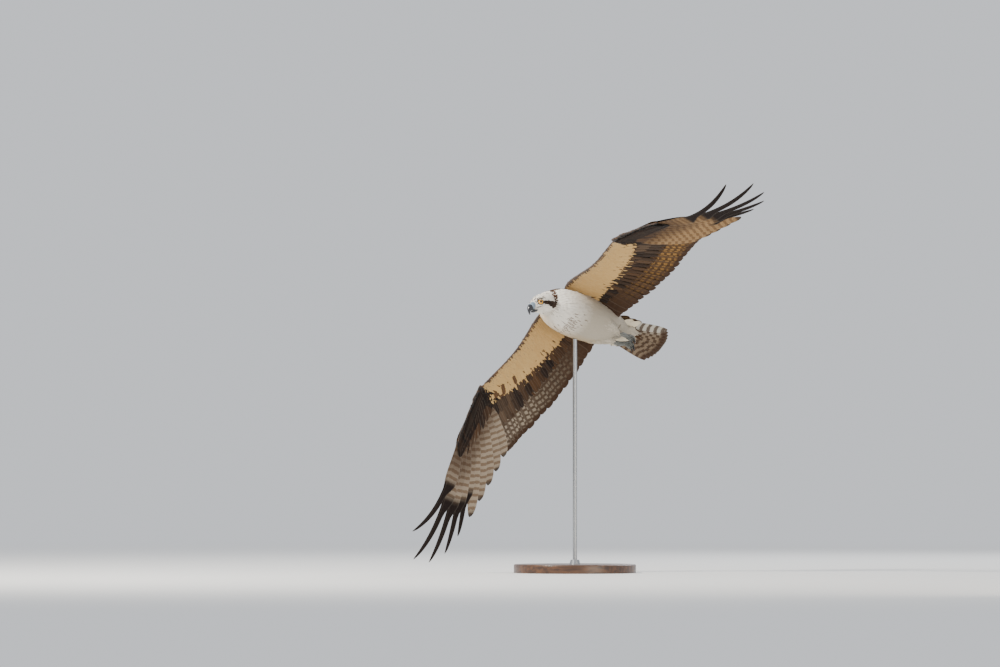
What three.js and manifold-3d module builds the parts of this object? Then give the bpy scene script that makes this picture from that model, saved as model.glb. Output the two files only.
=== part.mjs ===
// A life-size osprey in banking flight, held on a display stand. Sizes are millimetres.
//
// The bird is laid out in its own frame: +X forward along the back, +Y to its left, +Z to its back,
// with the origin on the torso's axis below the shoulders. BANK then turns it into the part's frame,
// where +Z is up and the origin is the middle of the stand's underside.
import * as THREE from "three";
import { mergeVertices } from "three/addons/utils/BufferGeometryUtils.js";
import Module from "manifold-3d";

const wasm = await Module();
wasm.setup();

// Room that touching pieces keep between their faces, and the length below which an edge is closed up.
const GAP = 0.3;
const MERGE = 0.02;

// Attitude and height of the bird on its stand.
const FORWARD = [-0.6723, -0.694, 0.2577];
const LEFT = [0.6271, -0.3489, 0.6964];
const TORSO_HEIGHT = 732;

// Torso outline: each row is [x, middle height, half width, height above the middle, depth below it].
const TORSO = [
  [82, 3, 22, 22, 24],
  [64, 0, 41, 38, 41],
  [34, -3, 56, 48, 54],
  [-12, -5, 63, 52, 60],
  [-68, -5, 64, 50, 62],
  [-120, -3, 59, 44, 58],
  [-165, 0, 51, 36, 49],
  [-205, 3, 41, 26, 32],
  [-238, 5, 31, 17, 19],
];
const TORSO_SIDES = 24;
const TORSO_RINGS = 15;

// Neck, from inside the torso to inside the head.
const NECK_ROOT = [34, 1, 0];
const NECK_BEND = [74, 1, 2];
const NECK_ROOT_RADIUS = 48;
const NECK_HEAD_RADIUS = 26;

// Head: place of the braincase's middle in the bird's frame, and where the bird looks.
const HEAD_PLACE = [109.6, 3, -21.5];
const HEAD_FORWARD = [0.89, -0.294, -0.35];
const HEAD_UP = [0.444, 0.373, 0.815];
// Head outline in the head's own frame: [x, top, bottom, half width].
const HEAD = [
  [-39, 10, -17, 15],
  [-33, 18.5, -24, 22],
  [-20, 25, -28, 26.5],
  [-4, 27.5, -27, 27.5],
  [12, 26, -24, 26],
  [24, 21.5, -20, 21.5],
  [33, 15, -16.5, 15.5],
  [39, 11.5, -14, 11.5],
];
const HEAD_SIDES = 20;
const EYE_PLACE = [20, 16, 3];
const EYE_RADIUS = 8.8;
const LID_RADIUS = 8.4;
const LID_THICK = 1.7;
// Bill outline in the head's frame: [top x, top z, bottom x, bottom z, half width].
const UPPER_BILL = [
  [31, 13, 28, -8, 12.5],
  [41, 11.5, 38, -8.5, 10.8],
  [49, 9, 45, -9, 8.8],
  [56, 4, 50.5, -9.5, 6.6],
  [60.5, -3, 54.5, -11, 4.6],
  [62.5, -11, 58, -15, 2.9],
  [62, -19, 59.8, -20, 1.3],
];
const LOWER_BILL = [
  [26, -9.2, 27, -16.5, 9.6],
  [36, -9.5, 37, -17, 7.8],
  [45, -10, 45, -16.5, 5.4],
  [51.5, -11, 50.5, -14.5, 2.6],
];
const NOSTRIL = { x: 41, y: 10.2, z: 3.5, length: 5, radius: 1.2 };
// Slit of the mouth behind the bill: [middle x, height], then its length, width and opening.
const GAPE = { x: 28, z: -9, length: 26, width: 70, open: 0.9 };

// Wing: leading edge from the shoulder to the wrist, and the hand's axes beyond the wrist.
const SHOULDER = [6, 26, 26];
const WING_ROOT = [24, 60, 36];
const PATAGIUM = [53, 172, -15];
const WRIST = [114, 309, -67];
const HAND_OUT = [0.046, 0.871, -0.49];
const HAND_BACK = [-0.999, 0.032, -0.036];
const HAND_UP = [-0.015, 0.491, 0.871];
const INNER_TIP = [-176, 62, -16];
const MIDDLE_TIP = [-154, 240, -67];
const OUTER_TIP = [-98, 411, -113];

// Arm core: chord share covered, thickness at the root, elbow and wrist, and its section.
const CORE_SHARE = [0, 0.02, 0.07, 0.18, 0.34, 0.5, 0.64];
const CORE_SHAPE = [0, 0.45, 0.78, 1, 0.86, 0.5, 0.13];
const ARM_THICK = { root: 32, elbow: 23, wrist: 15 };
const ARM_CAMBER = 9;
const ARM_RINGS = 7;

// Flight feathers of one wing.
const SECONDARIES = 16;
const PRIMARY_LENGTH = [226, 238, 254, 276, 302, 341, 377, 394, 385, 302];
const PRIMARY_FAN = [57, 49, 42, 35, 28.5, 22.5, 17, 10, 2.5, -3.4];
const PRIMARY_LIFT = [16, 12, 10, 7, 3, 3, 3, 4, 12, 22];
const PRIMARY_BOW = [3, 3, 3, 3, 4, 8, 14, 24, 37, 46];
const FINGERS_FROM = 5;
const HAND_BONE = { from: 8, to: 122, back: 24, front: 8 };
// How far behind the hand's leading edge the primaries' fan is centred.
const FAN_BACK = 17;
// Angle of the cut between arm and hand, measured from the hand's length towards its rear.
const SEAM_ANGLE = 1.03;
// Length of the arm that the secondaries share out.
const ARM_SPAN = 350;
const VANE_THICK = 1.5;
const VANE_EDGE = 0.6;

// Tail: rectrices on each side, their length, fan and the place of their roots.
const TAIL_ROOT = [-205, 0, 5];
const TAIL_PAIRS = 6;
const TAIL_LENGTH = 212;
// How much shorter the outermost tail feather is than the middle one.
const TAIL_ROUNDING = 30;
const TAIL_BACKWARD = [-1, 0, 0.012];
const TAIL_HALF_FAN = 9;
const TAIL_SPREAD = 22;
const TAIL_WIDTH = 24;
const TAIL_TWIST = 0.12;

// Legs, drawn back below the tail, the right one trailing further and nearer the middle.
const LEFT_LEG = {
  knee: [-112, 27, -33],
  thigh: [-130, 31, -45],
  ankle: [-176, 19, -44],
  shank: [-190, 24, -56],
  foot: [-222, 15, -40],
};
const RIGHT_LEG = {
  knee: [-112, -27, -33],
  thigh: [-132, -29, -43],
  ankle: [-186, -14, -43],
  shank: [-206, -15, -53],
  foot: [-243, -7.5, -38],
};
const THIGH_RADIUS = 24;
const ANKLE_RADIUS = 10.5;
const TOE_RADIUS = 4;
const TALON_RADIUS = 3.1;

// Stand.
const BASE_RADIUS = 170;
const BASE_HEIGHT = 24;
const BASE_EDGE = 4;
const ROD_RADIUS = 6;
const COLLAR_RADIUS = 15;
const COLLAR_HEIGHT = 12;
const ROD_FOOT = [-45, 0, 0];

const { cos, sin, PI, abs, sign, sqrt, pow } = Math;
const vec = (p) => new THREE.Vector3(...p);
const unit = (v) => v.clone().normalize();
const along = (p, d, s) => p.clone().addScaledVector(d, s);
const cross = (a, b) => new THREE.Vector3().crossVectors(a, b);
const mix = (a, b, t) => a + (b - a) * t;

// A closed body from rings of points. Where flip says so, a face is split along its other diagonal.
function loft(rings, flip = () => false) {
  const sides = rings[0].length;
  const points = rings.flat();
  const faces = [];
  for (let i = 0; i + 1 < rings.length; i++) {
    for (let j = 0; j < sides; j++) {
      const k = (j + 1) % sides;
      const [a, b, c, d] = [i * sides + j, i * sides + k, (i + 1) * sides + k, (i + 1) * sides + j];
      faces.push(...(flip(j) ? [a, b, d, b, c, d] : [a, b, c, a, c, d]));
    }
  }
  for (const [start, turn] of [[0, false], [points.length - sides, true]]) {
    for (let j = 1; j + 1 < sides; j++) {
      faces.push(start, ...(turn ? [start + j, start + j + 1] : [start + j + 1, start + j]));
    }
  }
  const geometry = new THREE.BufferGeometry();
  geometry.setAttribute("position", new THREE.Float32BufferAttribute(points.flatMap((p) => p.toArray()), 3));
  geometry.setIndex(faces);
  return geometry;
}

// A manifold-3d solid of a closed geometry, turned to face outwards.
function solid(geometry) {
  const bare = geometry.clone();
  bare.deleteAttribute("normal");
  bare.deleteAttribute("uv");
  const merged = mergeVertices(bare, 1e-4);
  const make = (triVerts) =>
    new wasm.Manifold(
      new wasm.Mesh({ numProp: 3, vertProperties: merged.attributes.position.array, triVerts }),
    );
  const index = new Uint32Array(merged.index.array);
  const made = make(index);
  return made.volume() > 0 ? made : make(index.reverse());
}

const join = (solids) => wasm.Manifold.union(solids);

// The largest closed surface of a solid, as a named mesh.
function node(name, made, material) {
  const largest = made.simplify(MERGE).decompose().sort((a, b) => b.volume() - a.volume())[0];
  const mesh = largest.getMesh();
  const geometry = new THREE.BufferGeometry();
  geometry.setAttribute("position", new THREE.BufferAttribute(new Float32Array(mesh.vertProperties), 3));
  geometry.setIndex(new THREE.BufferAttribute(new Uint32Array(mesh.triVerts), 1));
  geometry.computeVertexNormals();
  const part = new THREE.Mesh(geometry, material);
  part.name = name;
  return part;
}

// The value of one column of an outline at a share of its length, on a smooth curve through its rows.
function outline(rows, share) {
  const last = rows.length - 1;
  const at = share * last;
  const i = Math.min(Math.floor(at), last - 1);
  const t = at - i;
  const row = (k) => rows[Math.max(0, Math.min(last, k))];
  return rows[0].map((_, c) => {
    const [p, q, r, s] = [row(i - 1)[c], row(i)[c], row(i + 1)[c], row(i + 2)[c]];
    const bend = 2 * p - 5 * q + 4 * r - s;
    const twist = 3 * q - p - 3 * r + s;
    return 0.5 * (2 * q + (r - p) * t + bend * t * t + twist * t * t * t);
  });
}

// A round ring whose width and its reach up and down differ, at a place with its own axes.
function ring(place, across, up, half, above, below, sides, square = 2.2) {
  return Array.from({ length: sides }, (_, j) => {
    const angle = (2 * PI * j) / sides;
    const c = sign(cos(angle)) * pow(abs(cos(angle)), 2 / square);
    const s = sign(sin(angle)) * pow(abs(sin(angle)), 2 / square);
    return along(along(place, across, half * c), up, s * (s > 0 ? above : below));
  });
}

const LEFTWARD = vec([0, 1, 0]);
const UPWARD = vec([0, 0, 1]);

// Torso, grown by a margin where a neighbour is cut back from it.
function torso(margin = 0) {
  const rings = Array.from({ length: TORSO_RINGS }, (_, i) => {
    const [x, middle, half, above, below] = outline(TORSO, i / (TORSO_RINGS - 1));
    const ends = i === 0 ? margin : i === TORSO_RINGS - 1 ? -margin : 0;
    const reach = [half, above, below].map((size) => size + margin);
    return ring(vec([x + ends, 0, middle]), LEFTWARD, UPWARD, ...reach, TORSO_SIDES);
  });
  return solid(loft(rings));
}

// A round tube with changing radius along a curve.
function tube(curve, radius, rings, sides, flat = 1) {
  return solid(
    loft(
      Array.from({ length: rings }, (_, i) => {
        const t = i / (rings - 1);
        const ahead = curve.getTangent(t);
        const across = unit(cross(UPWARD, ahead));
        const r = radius(t);
        return ring(curve.getPoint(t), across, cross(ahead, across), r, r * flat, r * flat, sides, 2);
      }),
    ),
  );
}

const headForward = unit(vec(HEAD_FORWARD));
const headLeft = unit(cross(vec(HEAD_UP), headForward));
const headUp = cross(headForward, headLeft);
const fromHead = ([x, y, z]) =>
  along(along(along(vec(HEAD_PLACE), headForward, x), headLeft, y), headUp, z);

// Neck, a tapering feathered column from the breast to the back of the head.
function neck(margin = 0) {
  const curve = new THREE.QuadraticBezierCurve3(vec(NECK_ROOT), vec(NECK_BEND), fromHead([-16, 0, -4]));
  return tube(curve, (t) => mix(NECK_ROOT_RADIUS, NECK_HEAD_RADIUS, t) + margin, 5, 16);
}

// The head's feathered mass, without bill or eyes.
function skull() {
  const rings = HEAD.map(([x, top, bottom, half]) => {
    const middle = (top + bottom) / 2;
    const reach = (top - bottom) / 2;
    return ring(fromHead([x, 0, middle]), headLeft, headUp, half, reach, reach, HEAD_SIDES, 2.3);
  });
  return solid(loft(rings));
}

// One half of the bill, each ring slanted from its ridge to its cutting edge.
function bill(rows, margin = 0) {
  const sides = 12;
  return solid(
    loft(
      rows.map(([topX, topZ, bottomX, bottomZ, half]) => {
        const middle = fromHead([(topX + bottomX) / 2, 0, (topZ + bottomZ) / 2]);
        const up = fromHead([topX, 0, topZ]).sub(fromHead([bottomX, 0, bottomZ]));
        const reach = up.length() / 2 + margin;
        return ring(middle, headLeft, unit(up), half + margin, reach, reach, sides, 2);
      }),
    ),
  );
}

const ball = (place, radius, across = 12, down = 8) =>
  solid(new THREE.SphereGeometry(radius, across, down).translate(...place.toArray()));

// The ring of lid round one eye, lying on the side of the head.
function lid(side) {
  const eye = fromHead([EYE_PLACE[0], side * EYE_PLACE[1], EYE_PLACE[2]]);
  const outward = unit(along(along(headLeft.clone().multiplyScalar(side), headForward, 0.42), headUp, 0.06));
  const turn = new THREE.Quaternion().setFromUnitVectors(UPWARD, outward);
  const geometry = new THREE.TorusGeometry(LID_RADIUS, LID_THICK, 5, 14);
  geometry.applyQuaternion(turn).translate(...along(eye, outward, EYE_RADIUS * 0.42).toArray());
  return solid(geometry);
}

// A slit nostril on each side of the bill's base, as a short rod to cut away.
function nostril(side) {
  const rod = new THREE.CapsuleGeometry(NOSTRIL.radius, NOSTRIL.length, 2, 8);
  const axis = unit(along(headUp, headForward, 0.55));
  const turn = new THREE.Quaternion().setFromUnitVectors(vec([0, 1, 0]), axis);
  const skin = fromHead([NOSTRIL.x, side * NOSTRIL.y, NOSTRIL.z]);
  return solid(rod.applyQuaternion(turn).translate(...skin.toArray()));
}

// The corner of the mouth, a thin slot to cut into the head.
function gape() {
  const slot = new THREE.BoxGeometry(GAPE.length, GAPE.width, GAPE.open);
  const turn = new THREE.Matrix4().makeBasis(headForward, headLeft, headUp);
  return solid(slot.applyMatrix4(turn).translate(...fromHead([GAPE.x, 0, GAPE.z]).toArray()));
}

// One feather: a thin vane on a bowed shaft, narrow on its outer side and wide on its inner side.
// width(t) gives [outer, inner] half widths. Its outer side is raised, as one shingle on the next.
function vane({ root, tip, up, side, bow = 0, stations, width, tilt = 0, thick = VANE_THICK }) {
  const near = along(root.clone().lerp(tip, 1 / 3), up, -0.4 * bow);
  const far = along(root.clone().lerp(tip, 2 / 3), up, -1.7 * bow);
  const shaft = new THREE.CubicBezierCurve3(root, near, far, tip);
  const rings = stations.map((t) => {
    const place = shaft.getPoint(t);
    const ahead = shaft.getTangent(t);
    const flat = unit(cross(ahead, up)).multiplyScalar(side);
    const upright = unit(along(up, ahead, -up.dot(ahead)));
    const outer = unit(along(flat, upright, tilt));
    const rise = unit(along(upright, flat, -tilt));
    const [outside, inside] = width(t);
    const high = mix(thick, thick * 0.6, t) / 2;
    const low = Math.min(VANE_EDGE / 2, high);
    const at = (across, lift) => along(along(place, outer, across), rise, lift);
    const above = [at(outside, low), at(0, high), at(-inside, low)];
    const below = [at(-inside, -low), at(0, -high), at(outside, -low)];
    return [...above, ...below];
  });
  return solid(loft(rings, (j) => j === 3 || j === 4));
}

// Width of a round-tipped feather along its length, as a share of its full width.
const rounded = (t) => mix(0.35, 1, Math.min(1, t / 0.35)) * sqrt(Math.max(0, 1 - pow(t, 6)) + 0.04);

// The same for a square-ended secondary.
const blunt = (t) => mix(0.35, 1, Math.min(1, t / 0.35)) * sqrt(Math.max(0, 1 - pow(t, 16)) + 0.12);

// Width of a fingered primary, which narrows sharply past its notch.
const fingered = (t, notch) => {
  const past = Math.min(1, Math.max(0, (t - notch) / 0.14));
  return mix(rounded(t), 0.42 * sqrt(Math.max(0, 1 - pow(t, 5)) + 0.03), past);
};

// One wing on the side given, +1 for the left and -1 for the right.
function wing(side) {
  const here = ([x, y, z]) => vec([x, side * y, z]);
  const out = here(HAND_OUT);
  const back = here(HAND_BACK);
  const handUp = here(HAND_UP);
  const wrist = here(WRIST);
  const handPoint = (s, b, h = 0) => along(along(along(wrist, out, s), back, b), handUp, h);

  const leading = new THREE.CatmullRomCurve3([
    here(SHOULDER),
    here(WING_ROOT),
    here(PATAGIUM),
    wrist,
    handPoint(60, 6),
  ]);
  const trailing = new THREE.CatmullRomCurve3([
    here([-160, 12, -2]),
    here(INNER_TIP),
    here(MIDDLE_TIP),
    here(OUTER_TIP),
    handPoint(120, 215, 4),
  ]);
  const span = (u) => [leading.getPoint(0.12 + u * 0.68), trailing.getPoint(0.18 + u * 0.62)];
  // A point of the arm's middle surface: u runs from root to wrist and v from front to back.
  const armUp = (u) => {
    const at = Math.min(0.95, Math.max(0.05, u));
    const [a, b] = span(at);
    const [c] = span(at + 0.05);
    const [d] = span(at - 0.05);
    return unit(cross(c.clone().sub(d), b.clone().sub(a))).multiplyScalar(side);
  };
  const armPoint = (u, v, h = 0) => {
    const [a, b] = span(u);
    return along(a.lerp(b, v), armUp(u), ARM_CAMBER * sin(PI * sqrt(v)) * (1 - 0.5 * u) + h);
  };

  const { root, elbow, wrist: thin } = ARM_THICK;
  const armThick = (u) => (u < 0.5 ? mix(root, elbow, u * 2) : mix(elbow, thin, u * 2 - 1));
  const section = (point, thick) => {
    const top = CORE_SHARE.map((v, i) => point(v, (CORE_SHAPE[i] * thick) / 2));
    const under = CORE_SHARE.slice(1).map((v, i) => point(v, (-CORE_SHAPE[i + 1] * thick) / 2));
    return [...top, ...under.reverse()];
  };
  const armCore = solid(
    loft(
      Array.from({ length: ARM_RINGS }, (_, i) => {
        const u = (1.06 * i) / (ARM_RINGS - 1);
        return section((v, h) => armPoint(u, v, h), armThick(Math.min(1, u)));
      }),
    ),
  );

  // Secondaries and their coverts, above and below.
  const pitch = ARM_SPAN / SECONDARIES;
  const armVanes = [];
  for (let i = 0; i < SECONDARIES; i++) {
    const u = (i + 0.5) / SECONDARIES;
    armVanes.push(
      vane({
        root: armPoint(mix(0.08, 0.94, u), 0.4),
        tip: armPoint(u, 1, 0),
        up: armUp(u),
        stations: [0, 0.5, 0.95, 1],
        width: (t) => [0.6 * pitch * blunt(t), 1.15 * pitch * blunt(t)],
        side,
        tilt: 0.075,
      }),
    );
  }
  const tier = (count, from, to, lift) => {
    for (let i = 0; i < count; i++) {
      const u = (i + 0.5) / count;
      const wide = ARM_SPAN / count;
      armVanes.push(
        vane({
          root: armPoint(mix(0.05, 0.96, u), from, lift),
          tip: armPoint(u, to, lift),
          up: armUp(u),
          side,
          stations: [0, 0.7, 0.92, 1],
          width: (t) => [0.6 * wide * rounded(t), 0.9 * wide * rounded(t)],
          tilt: 0.05,
          thick: 1.2,
        }),
      );
    }
  };
  tier(8, 0.3, 0.68, 4.6);
  tier(8, 0.3, 0.68, -4.6);

  // Hand core, from the wrist to the root of the outermost primary.
  const handRows = [
    [-26, 118, 17, 0],
    [20, 96, 16, 0],
    [70, 66, 14, 0],
    [120, 40, 12, -3],
    [165, 18, 6, -9],
  ];
  const handCore = solid(
    loft(
      handRows.map(([s, depth, thick, drop]) =>
        section((v, h) => handPoint(s, (v / 0.64) * depth - 1, h + drop + 2 * sin(PI * v)), thick),
      ),
    ),
  );
  const primaries = PRIMARY_LENGTH.map((length, i) => {
    const share = i / (PRIMARY_LENGTH.length - 1);
    const fan = (PRIMARY_FAN[i] * PI) / 180;
    const start = mix(HAND_BONE.from, HAND_BONE.to, share);
    const foot = handPoint(start, mix(HAND_BONE.back, HAND_BONE.front, share), mix(0.5, -2.5, share));
    const tip = handPoint(
      start + length * cos(fan),
      FAN_BACK + length * sin(fan),
      PRIMARY_LIFT[i],
    );
    const finger = i >= FINGERS_FROM;
    const notch = mix(0.62, 0.46, (i - FINGERS_FROM) / 4);
    const full = finger ? 34 : 30;
    return vane({
      root: foot,
      tip,
      up: handUp,
      bow: PRIMARY_BOW[i],
      stations: finger ? [0, notch - 0.06, notch + 0.08, 0.82, 1] : [0, 0.5, 0.9, 1],
      width: finger
        ? (t) => [0.34 * full * fingered(t, notch - 0.06), 0.9 * full * fingered(t, notch)]
        : (t) => [0.42 * full * rounded(t), 0.95 * full * rounded(t)],
      side,
      tilt: 0.16,
      thick: 1.2,
    });
  });
  const handVanes = [];
  for (const lift of [4.6, -4.6]) {
    for (let i = 0; i < 5; i++) {
      const share = i / 4;
      const fan = (mix(57, 9, share) * PI) / 180;
      const start = mix(HAND_BONE.from, 118, share);
      const length = mix(92, 108, share);
      const raise = lift * 1.4 + mix(4, -13, share * share);
      handVanes.push(
        vane({
          root: handPoint(start, mix(HAND_BONE.back, HAND_BONE.front, share), lift),
          tip: handPoint(start + length * cos(fan), FAN_BACK + length * sin(fan), raise),
          up: handUp,
          side,
          stations: [0, 0.7, 0.92, 1],
          width: (t) => [11 * rounded(t), 21 * rounded(t)],
          tilt: 0.1,
          thick: 1.2,
        }),
      );
    }
  }

  // The cut between arm and hand runs from the wrist back between the two sets of flight feathers.
  const seam = along(out.clone().multiplyScalar(cos(SEAM_ANGLE)), back, sin(SEAM_ANGLE));
  const facing = unit(cross(seam, handUp)).multiplyScalar(side);
  const level = facing.dot(handPoint(0, 0));
  const outer = join([handCore, ...primaries, ...handVanes]);
  const inner = join([armCore, ...armVanes]);
  return {
    arm: inner.trimByPlane(facing.clone().negate().toArray(), -level + GAP / 2),
    hand: outer.trimByPlane(facing.toArray(), level + GAP / 2),
  };
}

// Tail: a fan of overlapping feathers on a short root, with coverts above and below.
function tail() {
  const root = vec(TAIL_ROOT);
  const pieces = [];
  const backward = vec(TAIL_BACKWARD);
  const up = UPWARD.clone().applyAxisAngle(backward, -TAIL_TWIST);
  const across = cross(backward, up);
  const place = (x, y, z) => along(along(along(root, backward, -x), across, y), up, z);
  const toward = (angle, length) => backward.clone().applyAxisAngle(up, -angle).multiplyScalar(length);
  for (const side of [1, -1]) {
    for (let i = 0; i < TAIL_PAIRS; i++) {
      const share = (i + 0.4) / (TAIL_PAIRS - 0.6);
      const angle = (side * share * TAIL_HALF_FAN * PI) / 180;
      const start = place(0, side * TAIL_SPREAD * share, -i * 1.5);
      pieces.push(
        vane({
          root: start,
          tip: start.clone().add(toward(angle, TAIL_LENGTH - TAIL_ROUNDING * share * share)),
          up,
          side,
          bow: -2,
          stations: [0, 0.5, 0.93, 1],
          width: (t) => [0.5 * TAIL_WIDTH * rounded(t * 0.93), 0.5 * TAIL_WIDTH * rounded(t * 0.93)],
          tilt: 0.03,
        }),
      );
    }
    for (const [lift, length] of [[7, 74], [-14, 92]]) {
      for (let i = 0; i < 2; i++) {
        const angle = (side * (i + 0.5) * 6 * PI) / 180;
        const start = place(8, side * 12 * (i + 0.5), lift);
        pieces.push(
          vane({
            root: start,
            tip: along(start.clone().add(toward(angle, length - 6 * i)), up, -lift * 0.35),
            up,
            side,
            stations: [0, 0.6, 0.9, 1],
            width: (t) => [10 * rounded(t), 10 * rounded(t)],
            thick: 1.6,
          }),
        );
      }
    }
  }
  const rump = [
    [24, 33, 22],
    [-16, 33, 17],
    [-56, 31, 10],
    [-96, 24, 4],
  ].map(([x, half, reach]) => ring(place(x, 0, -3), across, up, half, reach, reach, 14));
  return join([solid(loft(rump)), ...pieces]);
}

// A curved limb piece from one point through another to a third.
const limb = (points, radius, rings, sides, flat) =>
  tube(new THREE.QuadraticBezierCurve3(...points), radius, rings, sides, flat);

// The feathered leg of one side.
function thigh(leg, margin = 0) {
  return limb([leg.knee, leg.thigh, leg.ankle].map(vec), (t) => mix(THIGH_RADIUS, ANKLE_RADIUS, t) + margin, 6, 14);
}

// The bare shank, with four clenched toes and their talons.
function foot(leg, side) {
  const shank = limb([leg.ankle, leg.shank, leg.foot].map(vec), (t) => mix(7.2, 6.4, t), 4, 8);
  const sole = vec(leg.foot);
  const toes = [
    [-14, -5, 4, -20, -5, -9],
    [-18, 0, 3, -25, 0.5, -11],
    [-14, 5, 3, -20, 6, -10],
    [6, 1, -8, -6, 1, -16],
  ].map(([bx, by, bz, tx, ty, tz]) => {
    const curve = new THREE.QuadraticBezierCurve3(
      sole,
      sole.clone().add(vec([bx * 1.3, side * by * 1.3, bz * 1.2])),
      sole.clone().add(vec([tx, side * ty, tz])),
    );
    const end = curve.getPoint(1);
    const on = curve.getTangent(1);
    const claw = new THREE.QuadraticBezierCurve3(
      along(end, on, -3),
      along(end, on, 8),
      along(end, on, 9).add(vec([8, 0, -8])),
    );
    return join([
      tube(curve, (t) => mix(TOE_RADIUS * 1.3, TOE_RADIUS, t), 3, 6),
      tube(claw, (t) => mix(TALON_RADIUS, 0.5, t), 3, 5),
    ]);
  });
  return join([shank, ball(sole, 7.5, 8, 6), ...toes]);
}

// Colours and finishes.
const paint = (color, roughness, metalness = 0) =>
  new THREE.MeshStandardMaterial({ color, roughness, metalness });
const WHITE_DOWN = paint(0xe9e2d2, 0.85);
const HEAD_DOWN = paint(0xf2eee4, 0.85);
const WING_BROWN = paint(0x4a3b2c, 0.75);
const TAIL_BARRED = paint(0x7a6650, 0.75);
const BLACK_HORN = paint(0x1b1c20, 0.35);
const YELLOW_EYE = paint(0xe8b21c, 0.12);
const GREY_SKIN = paint(0xa9ada6, 0.6);
const DARK_WOOD = paint(0x3d2a1c, 0.4);
const STEEL = paint(0x8e9092, 0.35, 0.9);

const bird = new THREE.Group();
const forward = unit(vec(FORWARD));
const leftward = unit(vec(LEFT).addScaledVector(forward, -vec(LEFT).dot(forward)));
const BANK = new THREE.Matrix4().makeBasis(forward, leftward, cross(forward, leftward));
const stood = vec(ROD_FOOT).applyMatrix4(BANK);
BANK.setPosition(-stood.x, -stood.y, TORSO_HEIGHT);
bird.applyMatrix4(BANK);

const body = torso();
const bodyRoom = torso(GAP);
const throat = neck().subtract(bodyRoom);
const neckRoom = neck(GAP);
const eyes = [1, -1].map((side) => fromHead([EYE_PLACE[0], side * EYE_PLACE[1], EYE_PLACE[2]]));
const face = join([skull(), lid(1), lid(-1)]).subtract(
  join([neckRoom, bodyRoom, ...eyes.map((eye) => ball(eye, EYE_RADIUS + GAP))]),
);
const billRoom = join([bill(UPPER_BILL, GAP), bill(LOWER_BILL, GAP)]);
const upperBill = bill(UPPER_BILL).subtract(join([nostril(1), nostril(-1)]));
const lowerBill = bill(LOWER_BILL).subtract(bill(UPPER_BILL, GAP));

bird.add(
  node("torso", body, WHITE_DOWN),
  node("neck", throat, HEAD_DOWN),
  node("head", face.subtract(join([billRoom, gape()])), HEAD_DOWN),
  node("bill_upper", upperBill, BLACK_HORN),
  node("bill_lower", lowerBill, BLACK_HORN),
  node("eye_left", ball(eyes[0], EYE_RADIUS), YELLOW_EYE),
  node("eye_right", ball(eyes[1], EYE_RADIUS), YELLOW_EYE),
);

const fan = tail().subtract(bodyRoom);
bird.add(node("tail", fan, TAIL_BARRED));

const trunkRoom = join([bodyRoom, neckRoom]);
for (const [word, side, leg] of [["left", 1, LEFT_LEG], ["right", -1, RIGHT_LEG]]) {
  const { arm, hand } = wing(side);
  bird.add(
    node(`wing_${word}_arm`, arm.subtract(trunkRoom), WING_BROWN),
    node(`wing_${word}_hand`, hand, WING_BROWN),
    node(`leg_${word}`, thigh(leg).subtract(bodyRoom), WHITE_DOWN),
    node(`foot_${word}`, foot(leg, side).subtract(join([thigh(leg, GAP), bodyRoom])), GREY_SKIN),
  );
}

// Stand: a round base, and a rod with a collar up to the belly.
const baseProfile = [
  [0, 0],
  [BASE_RADIUS, 0],
  [BASE_RADIUS, BASE_HEIGHT - BASE_EDGE],
  [BASE_RADIUS - BASE_EDGE, BASE_HEIGHT],
  [0, BASE_HEIGHT],
].map(([r, z]) => new THREE.Vector2(r, z));
const base = solid(new THREE.LatheGeometry(baseProfile, 48).rotateX(PI / 2));
const rodLength = TORSO_HEIGHT - BASE_HEIGHT - GAP;
const rod = solid(
  new THREE.CylinderGeometry(ROD_RADIUS, ROD_RADIUS, rodLength, 20)
    .rotateX(PI / 2)
    .translate(0, 0, BASE_HEIGHT + GAP + rodLength / 2),
);
const collar = solid(
  new THREE.CylinderGeometry(COLLAR_RADIUS * 0.8, COLLAR_RADIUS, COLLAR_HEIGHT, 24)
    .rotateX(PI / 2)
    .translate(0, 0, BASE_HEIGHT + GAP + COLLAR_HEIGHT / 2),
);
const placedTorso = bodyRoom.transform(BANK.elements);
const osprey = new THREE.Group();
osprey.add(
  bird,
  node("stand_base", base, DARK_WOOD),
  node("stand_rod", join([rod, collar]).subtract(placedTorso), STEEL),
);

export default osprey;
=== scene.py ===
# %% [markdown]
# # Osprey in banking flight
# A life-size osprey with spread wings, on a plain display stand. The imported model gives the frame:
# its nodes say where each part is and how far it reaches, and every piece here is fitted to them.
# Lengths are metres in Blender. The bird itself is laid out in millimetres in its own frame, with
# +X forward, +Y to its left and +Z to its back, which `place` then turns into the bank of the photo.

# %% Load the frame
import math
import bmesh
import bpy
import numpy as np
from mathutils import Matrix, Vector, kdtree
from mathutils.bvhtree import BVHTree


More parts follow.
